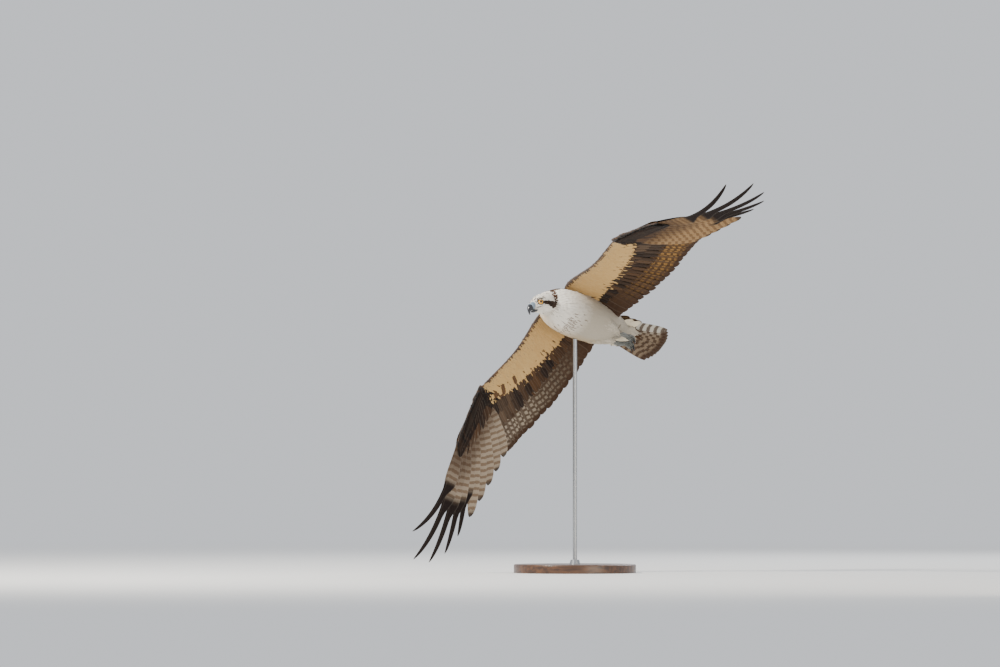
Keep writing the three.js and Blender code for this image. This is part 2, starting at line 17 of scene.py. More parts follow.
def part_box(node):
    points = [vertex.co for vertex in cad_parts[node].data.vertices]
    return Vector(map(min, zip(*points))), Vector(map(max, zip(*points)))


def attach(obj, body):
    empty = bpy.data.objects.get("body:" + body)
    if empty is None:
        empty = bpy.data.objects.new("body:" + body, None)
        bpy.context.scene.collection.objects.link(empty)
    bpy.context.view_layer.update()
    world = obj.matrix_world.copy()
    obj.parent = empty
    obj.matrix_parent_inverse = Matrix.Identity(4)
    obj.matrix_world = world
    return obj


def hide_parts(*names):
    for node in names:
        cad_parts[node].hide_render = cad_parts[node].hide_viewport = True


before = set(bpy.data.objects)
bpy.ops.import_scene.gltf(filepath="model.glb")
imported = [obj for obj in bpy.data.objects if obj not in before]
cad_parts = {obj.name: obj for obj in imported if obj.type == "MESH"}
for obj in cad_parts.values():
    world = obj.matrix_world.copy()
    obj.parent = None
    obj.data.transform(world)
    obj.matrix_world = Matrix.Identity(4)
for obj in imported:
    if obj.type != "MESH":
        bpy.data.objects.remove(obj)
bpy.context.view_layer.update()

draw = np.random.default_rng(20)

# %% [markdown]
# ## The bird's own frame
# A bird is symmetrical, so it is easier to describe before it banks. Three directions and one point
# carry it into the shared frame: where its beak points, where its left wing points, and where the
# torso's axis passes below the shoulders.

# %% Bank and height
FORWARD = np.array([-0.6723, -0.694, 0.2577])
LEFT = np.array([0.6271, -0.3489, 0.6964])
TORSO_HEIGHT = 732.0
ROD_FOOT = np.array([-45.0, 0.0, 0.0])


def unit(v):
    """Vectors of length one, for one vector or for rows of them."""
    v = np.asarray(v, float)
    return v / np.maximum(np.linalg.norm(v, axis=-1, keepdims=True), 1e-9)


FORWARD = unit(FORWARD)
LEFT = unit(LEFT - FORWARD * (LEFT @ FORWARD))
BANK = np.array([FORWARD, LEFT, np.cross(FORWARD, LEFT)])
ORIGIN = np.array([0.0, 0.0, TORSO_HEIGHT]) - (ROD_FOOT @ BANK) * np.array([1.0, 1.0, 0.0])


def place(points):
    """Points of the bird's frame, in millimetres, as points of the shared frame, in metres."""
    return (np.asarray(points, float) @ BANK + ORIGIN) * 0.001


def turn(directions):
    """Directions of the bird's frame in the shared frame."""
    return np.asarray(directions, float) @ BANK


print("torso axis at", place([0, 0, 0]))

# %% [markdown]
# ## Named sizes
# These are the driving sizes of the solids, so that the feathers sit on the same wing, tail and head.

# %% Sizes of the body
TORSO = np.array([
    [82, 3, 22, 22, 24],
    [64, 0, 41, 38, 41],
    [34, -3, 56, 48, 54],
    [-12, -5, 63, 52, 60],
    [-68, -5, 64, 50, 62],
    [-120, -3, 59, 44, 58],
    [-165, 0, 51, 36, 49],
    [-205, 3, 41, 26, 32],
    [-238, 5, 31, 17, 19],
], float)
NECK_LINE = np.array([[34, 1, 0], [74, 1, 2]], float)
NECK_RADII = (48.0, 26.0)
HEAD_PLACE = np.array([109.6, 3.0, -21.5])
HEAD_FORWARD = unit([0.89, -0.294, -0.35])
HEAD_UP = np.array([0.444, 0.373, 0.815])
HEAD = np.array([
    [-39, 10, -17, 15],
    [-33, 18.5, -24, 22],
    [-20, 25, -28, 26.5],
    [-4, 27.5, -27, 27.5],
    [12, 26, -24, 26],
    [24, 21.5, -20, 21.5],
    [33, 15, -16.5, 15.5],
    [39, 11.5, -14, 11.5],
], float)
EYE_PLACE = np.array([20.0, 16.0, 3.0])
EYE_RADIUS = 8.8
# Each leg: knee, bend of the thigh, ankle, bend of the shank and foot. The right one trails.
LEGS = {
    1: np.array([[-112, 27, -33], [-130, 31, -45], [-176, 19, -44], [-190, 24, -56], [-222, 15, -40]], float),
    -1: np.array([[-112, -27, -33], [-132, -29, -43], [-186, -14, -43], [-206, -15, -53], [-243, -7.5, -38]],
                 float),
}
TAIL_ROOT = np.array([-205.0, 0.0, 5.0])
TAIL_PAIRS = 6
TAIL_LENGTH = 212.0
TAIL_ROUNDING = 30.0
TAIL_HALF_FAN = math.radians(9)
TAIL_SPREAD = 22.0
TAIL_TWIST = 0.12
THIGH_RADIUS = 22.0
ANKLE_RADIUS = 8.5
RUMP = np.array([[24, 31, 20], [-16, 31, 15], [-50, 28, 8], [-78, 20, 4]], float)
print("torso", TORSO[0, 0] - TORSO[-1, 0], "mm long")

# %% [markdown]
# ## Sizes of the wings
# A wing has an arm, from the shoulder over the elbow to the wrist, and a hand, which carries the ten
# primaries. Its shape is kept as a few named points for the left side, which `mirror` turns into the
# right one, and as the length, spread, lift and bow of each primary.

# %% Sizes of the wings
SHOULDER = np.array([6, 26, 26], float)
WING_ROOT = np.array([24, 60, 36], float)
PATAGIUM = np.array([53, 172, -15], float)
WRIST = np.array([114, 309, -67], float)
HAND_OUT = np.array([0.046, 0.871, -0.49])
HAND_BACK = np.array([-0.999, 0.032, -0.036])
HAND_UP = np.array([-0.015, 0.491, 0.871])
INNER_TIP = np.array([-176, 62, -16], float)
MIDDLE_TIP = np.array([-154, 240, -67], float)
OUTER_TIP = np.array([-98, 411, -113], float)
CORE_SHARE = np.array([0, 0.02, 0.07, 0.18, 0.34, 0.5, 0.64])
CORE_SHAPE = np.array([0, 0.45, 0.78, 1, 0.86, 0.5, 0.13])
ARM_THICK = (32.0, 23.0, 15.0)
ARM_CAMBER = 9.0
HAND_ROWS = np.array([
    [-26, 118, 17, 0],
    [20, 96, 16, 0],
    [70, 66, 14, 0],
    [120, 40, 12, -3],
    [165, 18, 6, -9],
], float)
PRIMARY_LENGTH = np.array([226, 238, 254, 276, 302, 341, 377, 394, 385, 302], float)
PRIMARY_FAN = np.radians([57, 49, 42, 35, 28.5, 22.5, 17, 10, 2.5, -3.4])
PRIMARY_LIFT = np.array([16, 12, 10, 7, 3, 3, 3, 4, 12, 22], float)
PRIMARY_BOW = np.array([3, 3, 3, 3, 4, 8, 14, 24, 37, 46], float)
FINGERS_FROM = 5
HAND_BONE = {"from": 8, "to": 122, "back": 24, "front": 8}
SECONDARIES = 20
ARM_SPAN = 350.0
HAND_SPAN = 260.0
print("longest primary", PRIMARY_LENGTH.max(), "mm")

# %% [markdown]
# ## Curves and surfaces to build on
# A wing is two edges, the leading one from shoulder to wrist and the trailing one along the feather
# tips, with a thin arched surface between them. Any point of it is found from how far out it is (u)
# and how far back (v).

# %% Smooth curves through a few points
def through(rows, share):
    """Points on a smooth curve through rows, at shares of its length from 0 to 1."""
    rows = np.asarray(rows, float)
    share = np.asarray(share, float)
    last = len(rows) - 1
    at = np.clip(share, 0, 1) * last
    i = np.minimum(at.astype(int), last - 1)
    t = (at - i)[..., None]
    before = rows[np.maximum(i - 1, 0)]
    start = rows[i]
    end = rows[i + 1]
    after = rows[np.minimum(i + 2, last)]
    bend = 2 * before - 5 * start + 4 * end - after
    twist = 3 * start - before - 3 * end + after
    return 0.5 * (2 * start + (end - before) * t + bend * t * t + twist * t ** 3)


def bezier(start, middle, end, t):
    """Points on a bow from start to end that leans towards middle."""
    t = np.asarray(t, float)[..., None]
    return (1 - t) ** 2 * start + 2 * t * (1 - t) * middle + t * t * end


def mirror(point, side):
    """A point or direction of the left side, or its mirror on the right."""
    return np.asarray(point, float) * np.array([1.0, side, 1.0])


# %% [markdown]
# ## Surfaces of arm and hand
# The hand is nearly flat, so its points are measured straight out from the wrist and back from its
# leading edge. The arm bends with the two edges, so its points lie on a grid between them, lifted into
# a shallow arch that gives the wing its camber.

# %% Wing surfaces
def hand_point(side, s, b, h=0.0):
    """A point of the hand: s out from the wrist, b back from the leading edge and h above."""
    s, b, h = (np.asarray(x, float)[..., None] for x in (s, b, h))
    wrist = mirror(WRIST, side)
    return wrist + s * mirror(HAND_OUT, side) + b * mirror(HAND_BACK, side) + h * mirror(HAND_UP, side)


def edges(side, u):
    """The leading and trailing edge of the arm, u from 0 at the body to 1 at the wrist."""
    front = [SHOULDER, WING_ROOT, PATAGIUM, WRIST]
    front = [mirror(p, side) for p in front] + [hand_point(side, 60, 6)]
    rear = [mirror(p, side) for p in ([-160, 12, -2], INNER_TIP, MIDDLE_TIP, OUTER_TIP)]
    rear = rear + [hand_point(side, 120, 215, 4)]
    u = np.asarray(u, float)
    return through(front, 0.12 + 0.68 * u), through(rear, 0.18 + 0.62 * u)


def arm_up(side, u):
    """The upward normal of the arm's surface."""
    at = np.clip(u, 0.05, 0.95)
    front, rear = edges(side, at)
    outward = edges(side, at + 0.05)[0] - edges(side, at - 0.05)[0]
    return unit(np.cross(outward, rear - front)) * side


def arm_point(side, u, v, h=0.0):
    """A point of the arm's middle surface, v from 0 at the front to 1 at the feather tips."""
    u, v, h = np.broadcast_arrays(*(np.asarray(x, float) for x in (u, v, h)))
    front, rear = edges(side, u)
    arch = ARM_CAMBER * np.sin(np.pi * np.sqrt(np.clip(v, 0, 1))) * (1 - 0.5 * u) + h
    return front + (rear - front) * v[..., None] + arm_up(side, u) * arch[..., None]


def arm_depth(u, v):
    """Half the thickness of the arm's flesh."""
    thick = np.interp(u, [0, 0.5, 1], ARM_THICK)
    return thick * np.interp(v, CORE_SHARE, CORE_SHAPE) / 2


def hand_flesh(s):
    """Depth from front to back, thickness and drop of the hand's flesh."""
    return [np.interp(s, HAND_ROWS[:, 0], HAND_ROWS[:, k]) for k in (1, 2, 3)]


print("wing chord at the elbow", np.linalg.norm(np.subtract(*edges(1, 0.5))))

# %% [markdown]
# ## The head's own frame
# The head turns to the right of the body, and all its markings turn with it. It has a frame of its own,
# with X along the bill and Z to the crown, and two functions go from one frame to the other.

# %% Head frame
HEAD_LEFT = unit(np.cross(HEAD_UP, HEAD_FORWARD))
HEAD_AXES = np.array([HEAD_FORWARD, HEAD_LEFT, np.cross(HEAD_FORWARD, HEAD_LEFT)])


def from_head(points):
    """Points of the head's frame in the bird's frame."""
    return np.asarray(points, float) @ HEAD_AXES + HEAD_PLACE


def to_head(points):
    """Points of the bird's frame in the head's frame."""
    return (np.asarray(points, float) - HEAD_PLACE) @ HEAD_AXES.T


print("head turned by", math.degrees(math.acos(HEAD_AXES[0][0])), "degrees")

# %% [markdown]
# ## Colours
# Plumage colours are mixed from the photo and from the species. A helper turns the usual
# 0 to 255 screen values into the linear ones that Blender's shaders expect.

# %% Colour helper and palette
def screen(red, green, blue):
    """A screen colour as a linear one."""
    c = np.array([red, green, blue], float) / 255
    return np.where(c > 0.04045, ((c + 0.055) / 1.055) ** 2.4, c / 12.92)


WHITE = screen(238, 233, 223)
SHADE_WHITE = screen(226, 219, 204)
CREAM = screen(226, 206, 168)
BUFF = screen(204, 168, 112)
GOLD = screen(186, 140, 80)
BROWN = screen(92, 66, 44)
CHOCOLATE = screen(66, 48, 36)
BLACKISH = screen(34, 27, 25)
RUSTY = screen(86, 55, 38)
GREY_BEIGE = screen(178, 164, 146)
PALE_SPOT = screen(196, 180, 156)
# A grey beige used as painted shade on the belly, the throat and the legs.
PAINTED_BELLY_SHADE = screen(164, 154, 137)


def blend_colours(a, b, share):
    """Rows of colour between a and b."""
    share = np.clip(np.asarray(share, float), 0, 1)[..., None]
    return a * (1 - share) + b * share


print("buff between white and gold", blend_colours(WHITE, GOLD, 0.5))

# %% [markdown]
# ## Material helpers
# Every finish is a small net of nodes. These helpers add a node and wire it in one line, and set up
# the shader with its plain numbers on its own sockets.

# %% Node helpers
class Finish:
    """A material under construction."""

    def __init__(self, name, roughness, **sockets):
        self.material = bpy.data.materials.new(name)
        self.material.use_nodes = True
        self.tree = self.material.node_tree
        self.shader = self.tree.nodes["Principled BSDF"]
        self.shader.inputs["Roughness"].default_value = roughness
        for key, value in sockets.items():
            self.shader.inputs[key.replace("_", " ")].default_value = value

    def add(self, kind, settings=None, **inputs):
        """A node, with values or links for its named inputs."""
        node = self.tree.nodes.new(kind)
        for key, value in (settings or {}).items():
            setattr(node, key, value)
        for key, value in inputs.items():
            self.feed(node, key.replace("_", " "), value)
        return node

    def feed(self, node, socket, value):
        """Sets or links one input, given by name or number."""
        numbered = socket[0] == "i" and socket[1:].isdigit()
        target = node.inputs[int(socket[1:]) if numbered else socket]
        if isinstance(value, bpy.types.NodeSocket):
            self.tree.links.new(value, target)
        elif isinstance(value, (tuple, list, np.ndarray)) and len(value) == 3 and target.type == "RGBA":
            target.default_value = (*value, 1)
        else:
            target.default_value = value

    def math(self, operation, a, b=0.0, c=0.0, clamp=False):
        """The result of one sum."""
        node = self.add("ShaderNodeMath", {"operation": operation, "use_clamp": clamp}, i0=a, i1=b, i2=c)
        return node.outputs[0]

    def mix(self, share, a, b, how="MIX"):
        """A colour between two colours."""
        node = self.add("ShaderNodeMix", {"data_type": "RGBA", "blend_type": how})
        self.feed(node, "i0", share)
        self.feed(node, "i6", a)
        self.feed(node, "i7", b)
        return node.outputs[2]

    def span(self, value, low, high):
        """A smooth step from 0 at low to 1 at high."""
        node = self.add("ShaderNodeMapRange", {"interpolation_type": "SMOOTHSTEP"}, Value=value)
        node.inputs["From Min"].default_value = low
        node.inputs["From Max"].default_value = high
        return node.outputs["Result"]

    def noise(self, scale, detail=3.0, vector=None, roughness=0.5):
        """Cloudy noise on object coordinates, or on the vector given."""
        if vector is None:
            vector = self.add("ShaderNodeTexCoord").outputs["Object"]
        return self.add("ShaderNodeTexNoise", Vector=vector, Scale=scale, Detail=detail,
                        Roughness=roughness).outputs["Fac"]

    def colour(self, value):
        """Sets the base colour."""
        self.feed(self.shader, "Base Color", value)

    def bump(self, height, distance, strength=1.0):
        """Raises the surface by a height map."""
        node = self.add("ShaderNodeBump", Height=height, Distance=distance, Strength=strength)
        self.feed(self.shader, "Normal", node.outputs["Normal"])


print("material helpers ready")

# %% [markdown]
# ## Piece helpers
# Every piece ends the same way. A mesh becomes an object at the origin, rides on the part's one body,
# and hides the solids it stands for. Left and right pieces are made in one loop over both sides.

# %% Piece helpers
SIDES = ((1, "left"), (-1, "right"))


def as_object(name, data):
    """Puts a mesh, a lamp or a camera into the scene."""
    made = bpy.data.objects.new(name, data)
    bpy.context.scene.collection.objects.link(made)
    return made


def finished(name, shape, finish):
    """A bmesh as a smooth piece with one finish."""
    mesh = bpy.data.meshes.new(name)
    shape.to_mesh(mesh)
    shape.free()
    mesh.polygons.foreach_set("use_smooth", np.ones(len(mesh.polygons), bool))
    mesh.materials.append(finish)
    print(name, len(mesh.polygons), "faces")
    return as_object(name, mesh)


def settle(piece, slot, *nodes):
    """Rides a finished piece on the part's one body and hides the nodes it stands for; slot is not used."""
    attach(piece, "root")
    if nodes:
        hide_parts(*nodes)
    return piece


def spun_ring(tube, radius, height, steps):
    """A ring of round section, as a bmesh: a small circle spun about the upright axis."""
    ring = bmesh.new()
    bmesh.ops.create_circle(ring, segments=10, radius=tube)
    bmesh.ops.rotate(ring, cent=(0, 0, 0), matrix=Matrix.Rotation(math.pi / 2, 3, "X"), verts=ring.verts)
    bmesh.ops.translate(ring, vec=(radius, 0, height), verts=ring.verts)
    spin(ring, steps)
    return ring


def spin(shape, steps):
    """Spins a bmesh once round the upright axis and closes the seam."""
    bmesh.ops.spin(shape, geom=shape.verts[:] + shape.edges[:], cent=(0, 0, 0), axis=(0, 0, 1), steps=steps,
                   angle=2 * math.pi, use_merge=True, dvec=(0, 0, 0))
    bmesh.ops.remove_doubles(shape, verts=shape.verts, dist=1e-6)
    bmesh.ops.recalc_face_normals(shape, faces=shape.faces)


print("sides", [word for side, word in SIDES])

# %% [markdown]
# ## How feathers are painted
# Each feather carries its own colour and a few traits on its vertices, and a `Vane` map that runs
# along its shaft and across its barbs. One net of nodes then draws what all feathers share: a shaft
# line, slanting barbs, a paler or darker edge, and bars across the flight feathers. The map is in
# each feather's own measure, so the pattern follows the feather wherever it bends.

# %% Feather finish
BARBS_PER_METRE = 8400.0


def feather_finish(name, bar_colour, bar_pitch, bar_width, shaft_colour, shaft_share, fringe, fringe_share,
                   barb_height, mottle=0.35, streaked=False, spotted=False, tip_colour=BLACKISH,
                   root_shade=0.0):
    """Plumage with bars whose strength, and a dark tip whose start, are traits of each feather.

    A streaked coat has one dark streak along the shaft instead of bars. On a spotted feather the shaft
    and the edges are dark too, which cuts the pale bars into spots. Feathers with a root shade are dark
    where they come out from under the coverts.
    """
    finish = Finish(name, 0.8, Sheen_Weight=0.02, Sheen_Roughness=0.5, Specular_IOR_Level=0.08)
    base = finish.add("ShaderNodeAttribute", {"attribute_name": "plumage"}).outputs["Color"]
    traits = finish.add("ShaderNodeAttribute", {"attribute_name": "traits"})
    parts = finish.add("ShaderNodeSeparateColor", Color=traits.outputs["Color"])
    strength, luck, length = parts.outputs[0], parts.outputs[1], parts.outputs[2]
    dark_from = traits.outputs["Alpha"]
    vane = finish.add("ShaderNodeUVMap", {"uv_map": "Vane"}).outputs["UV"]
    axes = finish.add("ShaderNodeSeparateXYZ", Vector=vane)
    across = finish.math("SUBTRACT", axes.outputs["X"], 0.5)
    apart = finish.math("MULTIPLY", finish.math("ABSOLUTE", across), 2.0)
    along = axes.outputs["Y"]
    wobble = finish.noise(160.0, 2.0)
    # Bars: counted from the tip in centimetres, bent back towards the edges and a little uneven.
    run = finish.math("MULTIPLY", finish.math("SUBTRACT", 1.0, along), length)
    slanted = finish.math("MULTIPLY_ADD", apart, 0.0035, run)
    uneven = finish.math("MULTIPLY_ADD", wobble, 0.006, slanted)
    phase = finish.math("ADD", finish.math("DIVIDE", uneven, bar_pitch), finish.math("MULTIPLY", luck, 0.55))
    wave = finish.math("PINGPONG", phase, 0.5)
    bars = finish.math("SUBTRACT", 1.0, finish.span(wave, bar_width * 0.5 - 0.06, bar_width * 0.5 + 0.06))
    if streaked:
        frayed = finish.math("MULTIPLY_ADD", wobble, 0.3, apart)
        bars = finish.math("SUBTRACT", 1.0, finish.span(frayed, 0.45, 0.7))
    if spotted:
        near_shaft = finish.math("SUBTRACT", 1.0, finish.span(apart, 0.06, 0.3))
        bars = finish.math("MAXIMUM", bars, finish.math("MAXIMUM", near_shaft, finish.span(apart, 0.62, 0.9)))
    barred = finish.mix(finish.math("MULTIPLY", bars, strength), base, bar_colour)
    if root_shade:
        under_coverts = finish.math("SUBTRACT", 1.0, finish.span(along, 0.22, 0.56))
        barred = finish.mix(finish.math("MULTIPLY", under_coverts, root_shade), barred, CHOCOLATE)
    # The tip darkens past the trait's place along the feather.
    tip = finish.math("SUBTRACT", along, dark_from)
    tipped = finish.mix(finish.span(tip, -0.04, 0.05), barred, tip_colour)
    rim = finish.math("MAXIMUM", finish.span(apart, 0.86, 0.99), finish.span(along, 0.965, 0.992))
    edge = finish.math("MULTIPLY", rim, fringe_share)
    edged = finish.mix(edge, tipped, fringe)
    shaft = finish.math("MULTIPLY", finish.math("SUBTRACT", 1.0, finish.span(apart, 0.03, 0.1)), shaft_share)
    shafted = finish.mix(shaft, edged, shaft_colour)
    worn = finish.math("MULTIPLY_ADD", finish.noise(420.0, 4.0), mottle, 1.0 - mottle * 0.5)
    toned = finish.mix(1.0, shafted, worn, "MULTIPLY")
    finish.colour(toned)
    # Barbs slant towards the tip on both sides of the shaft.
    slant = finish.math("MULTIPLY_ADD", run, BARBS_PER_METRE, finish.math("MULTIPLY", apart, -26.0))
    barbs = finish.math("SINE", slant)
    ridge = finish.math("MULTIPLY", shaft, 2.0)
    finish.bump(finish.math("ADD", finish.math("MULTIPLY", barbs, 0.35), ridge), barb_height, 0.3)
    return finish.material


PALE_EDGE = (SHADE_WHITE, 0.05)
COAT = feather_finish("contour_plumage", BROWN, 0.02, 0.3, SHADE_WHITE, 0.05, WHITE, 0.06, 0.0002, 0.16,
                      streaked=True)
WING_BELOW = feather_finish("flight_underside", BROWN, 0.019, 0.46, GREY_BEIGE, 0.05, *PALE_EDGE, 0.0004,
                            root_shade=0.75)
SECONDARY_BELOW = feather_finish("secondary_underside", CHOCOLATE, 0.018, 0.46, GREY_BEIGE, 0.03, *PALE_EDGE,
                                 0.0004, spotted=True, tip_colour=CHOCOLATE, root_shade=0.6)
WING_ABOVE = feather_finish("flight_upperside", CHOCOLATE, 0.03, 0.3, BLACKISH, 0.7, BUFF, 0.35, 0.0004)
TAIL_BELOW = feather_finish("tail_underside", CHOCOLATE, 0.026, 0.5, GREY_BEIGE, 0.08, SHADE_WHITE, 0.06,
                            0.0004, tip_colour=CHOCOLATE)
TAIL_ABOVE = feather_finish("tail_upperside", CHOCOLATE, 0.034, 0.55, BLACKISH, 0.7, BUFF, 0.3, 0.0004)
print("feather finishes", 6)

# %% [markdown]
# ## Outlines of a feather
# A vane widens quickly from its root, keeps its width and closes in a round, blunt or soft tip. The outer
# primaries are cut in past a notch, which leaves the open fingers at the end of a soaring wing. Each
# outline gives the width at t, from 0 at the root to 1 at the tip.

# %% Tip shapes
def round_tip(t, root=0.35, full=0.35):
    """Width along a plain feather, as a share of its greatest."""
    rise = root + (1 - root) * np.minimum(1, t / full)
    return rise * np.sqrt(np.clip(1 - t ** 6, 0, 1) + 0.0025)


def blunt_tip(t):
    """Width along a square-ended feather."""
    return (0.35 + 0.65 * np.minimum(1, t / 0.35)) * np.sqrt(np.clip(1 - t ** 16, 0, 1) + 0.004)


def soft_tip(t):
    """Width along a small body feather."""
    return (0.5 + 0.5 * np.minimum(1, t / 0.4)) * np.sqrt(np.clip(1 - t ** 3.2, 0, 1) + 0.003)


def finger_tip(t, notch):
    """Width along a fingered primary, which narrows past its notch."""
    past = np.clip((t - notch) / 0.14, 0, 1)
    past = past * past * (3 - 2 * past)
    slim = 0.44 * np.sqrt(np.clip(1 - t ** 5, 0, 1) + 0.003)
    return round_tip(t) * (1 - past) + slim * past


def column(value, count):
    """A number or a row of numbers as one value for each feather."""
    return np.broadcast_to(np.asarray(value, float), (count,)).copy()


def stations(rows):
    """Shares of a feather's length at which it has points, closer together towards the tip."""
    t = 1 - (1 - np.linspace(0, 1, rows + 1)) ** 1.35
    t[-1] = 1.0
    return t


print("width at half length", round_tip(0.5), blunt_tip(0.5), soft_tip(0.5))

# %% [markdown]
# ## The body of a vane
# A feather is a thin lens: a grid of points above and one below that share their rim, laid along a
# bowed shaft. Real feathers lie like roof tiles, so each is tilted a little with its outer side raised.
# The sums run on arrays of all the feathers of a piece at once, which is far quicker than one by one.

# %% Points of the vanes
def vane_points(root, tip, up, side, bow, tilt, thick, camber, wide_in, wide_out, t, w):
    """The middle surface of each vane and the points above and below it, along and across."""
    near = root + (tip - root) / 3 - up * (0.4 * bow)[:, None]
    far = root + (tip - root) * 2 / 3 - up * (1.7 * bow)[:, None]
    T = t[None, :, None]
    A, B, C, D = (x[:, None, :] for x in (root, near, far, tip))
    line = (1 - T) ** 3 * A + 3 * (1 - T) ** 2 * T * B + 3 * (1 - T) * T ** 2 * C + T ** 3 * D
    ahead = unit(3 * (1 - T) ** 2 * (B - A) + 6 * (1 - T) * T * (C - B) + 3 * T ** 2 * (D - C))
    lifted = np.broadcast_to(up[:, None, :], ahead.shape)
    flat = unit(np.cross(ahead, lifted)) * side
    upright = unit(lifted - ahead * np.sum(ahead * lifted, -1, keepdims=True))
    lean = tilt[:, None, None]
    out = unit(flat + lean * upright)
    rise = unit(upright - lean * flat)
    W = w[None, None, :]
    x = np.where(W > 0, W * wide_out[:, :, None], W * wide_in[:, :, None])
    half = (wide_in + wide_out)[:, :, None] / 2
    droop = -camber * 2 * half * W ** 2
    depth = thick[:, None, None] * (1 - 0.6 * T) / 2 * (1 - W ** 2) * np.ones_like(x)
    mid = line[:, :, None, :] + out[:, :, None, :] * x[..., None] + rise[:, :, None, :] * droop[..., None]
    swell = rise[:, :, None, :] * depth[..., None]
    return mid, mid + swell, mid - swell


def quads(index, flip):
    """The four-sided faces of a grid of point numbers."""
    q = np.stack([index[:-1, :-1], index[:-1, 1:], index[1:, 1:], index[1:, :-1]], -1).reshape(-1, 4)
    return q[:, ::-1] if flip else q


print("faces of a small feather", 2 * len(quads(np.arange(15).reshape(5, 3), False)))

# %% [markdown]
# ## Maps and traits
# Each feather needs two maps. `Vane` says where a point lies on the feather, which draws the shaft and
# the bars, and `OFBake` gives each feather its own patch for baked colour. Its colour and traits are kept
# on its corners, so that the two faces of a flight feather may differ.

# %% Maps and traits of the vanes
PATCH = 0.003


def map_vanes(mesh, own, count, tops, bake, atlas):
    """The two UV maps. own is each face corner's place across and along its feather."""
    vane_map = mesh.uv_layers.new(name="Vane")
    vane_map.uv.foreach_set("vector", np.tile(own, (count, 1, 1)).astype(np.float32).ravel())
    patch = own.reshape(2 * tops, 4, 2)[None].repeat(count, 0)
    if atlas:
        side_count = math.ceil(math.sqrt(2 * count))
        cell = 1.0 / side_count
        number = 2 * np.arange(count)[:, None] + np.array([0] * tops + [1] * tops)[None]
        base = np.stack([number % side_count, number // side_count], -1) * cell
        patch = base[:, :, None, :] + (0.04 + 0.92 * patch) * cell
    else:
        patch = bake[:, None, None, :] + (patch - 0.5) * PATCH
    bake_map = mesh.uv_layers.new(name="OFBake")
    bake_map.uv.foreach_set("vector", np.clip(patch, 0, 1).astype(np.float32).ravel())


def mark_vanes(mesh, count, tops, lengths, faces_of):
    """Colour and traits. faces_of holds the upper and the lower face's colours, bars and dark tips."""
    luck = draw.random(count)
    hue = np.ones((count, 2, tops * 4, 4), np.float32)
    trait = np.ones((count, 2, tops * 4, 4), np.float32)
    for k, (colours, bar, dark) in enumerate(faces_of):
        hue[:, k, :, :3] = np.broadcast_to(colours, (count, 3))[:, None]
        for channel, value in enumerate((column(bar, count), luck, lengths, column(dark, count))):
            trait[:, k, :, channel] = value[:, None]
    for name, values in (("plumage", hue), ("traits", trait)):
        mesh.color_attributes.new(name, "FLOAT_COLOR", "CORNER").data.foreach_set("color", values.ravel())


print("bake patch of a small feather", PATCH)

# %% [markdown]
# ## One mesh of many feathers
# Thousands of feathers are quickest as arrays, all at once, so that one mesh holds a whole tract of
# plumage and each feather in it is a closed vane.

# %% Feather builder
def feather_mesh(name, root, tip, up, outer, inner, finishes, colours, below=None, side=1, bow=0.0,
                 tilt=0.05, thick=0.9, camber=0.06, rows=4, cols=2, shape=soft_tip, shape_out=None,
                 bars=0.0, dark_from=2.0, bars_below=None, dark_below=None, bake=None, atlas=False):
    """Many feathers as one object. Lengths are millimetres in the bird's frame."""
    count = len(root)
    outer, inner, bow, tilt, thick = (column(x, count) for x in (outer, inner, bow, tilt, thick))
    t = stations(rows)
    w = np.linspace(-1, 1, cols + 1)
    shape_out = shape if shape_out is None else shape_out
    wide_in, wide_out = (most[:, None] * (outline(t)[None, :] if callable(outline) else outline)
                         for most, outline in ((inner, shape), (outer, shape_out)))
    mid, above, under = vane_points(root, tip, unit(up), side, bow, tilt, thick, camber,
                                    wide_in, wide_out, t, w)
    inside = np.zeros((rows + 1, cols + 1), bool)
    inside[1:-1, 1:-1] = True
    above[:, ~inside] = mid[:, ~inside]
    grid = np.arange((rows + 1) * (cols + 1)).reshape(rows + 1, cols + 1)
    lower = grid.copy()
    lower[inside] = grid.size + np.arange(inside.sum())
    points = np.concatenate([above.reshape(count, -1, 3), under[:, inside]], axis=1)
    faces = np.concatenate([quads(grid, side < 0), quads(lower, side > 0)])
    tops = rows * cols
    corner = (faces[None] + (np.arange(count) * points.shape[1])[:, None, None]).reshape(-1)
    mesh = bpy.data.meshes.new(name)
    mesh.vertices.add(count * points.shape[1])
    mesh.vertices.foreach_set("co", place(points.reshape(-1, 3)).astype(np.float32).ravel())
    mesh.loops.add(len(corner))
    mesh.loops.foreach_set("vertex_index", corner.astype(np.int32))
    mesh.polygons.add(count * len(faces))
    mesh.polygons.foreach_set("loop_start", np.arange(0, len(corner), 4, dtype=np.int32))
    which = np.tile(np.repeat([0, 1], tops), count).astype(np.int32)
    mesh.polygons.foreach_set("material_index", which)
    mesh.update(calc_edges=True)
    mesh.polygons.foreach_set("use_smooth", np.ones(count * len(faces), bool))
    mesh.set_sharp_from_angle(angle=math.radians(70))
    flat = np.stack(np.broadcast_arrays(w[None, :] * 0.5 + 0.5, t[:, None]), -1)
    own = np.concatenate([flat.reshape(-1, 2), flat[inside]])[faces].reshape(1, -1, 2)
    map_vanes(mesh, own, count, tops, bake, atlas)
    mark_vanes(mesh, count, tops, np.linalg.norm(tip - root, axis=1) * 0.001, (
        (colours, bars, dark_from),
        (colours if below is None else below, bars if bars_below is None else bars_below,
         dark_from if dark_below is None else dark_below)))
    for finish in finishes:
        mesh.materials.append(finish)
    print(name, count, "feathers", 2 * len(mesh.polygons), "triangles")
    return as_object(name, mesh)


# %% [markdown]
# ## Skin
# Under the coat lies one skin, with no seam from head to tail. Each mass is drawn out ring by ring
# from a circle: the cap of the last ring is extruded and its corners moved to the next. The masses
# overlap, and a voxel remesh melts them into one, which a smoothing pass then relaxes.

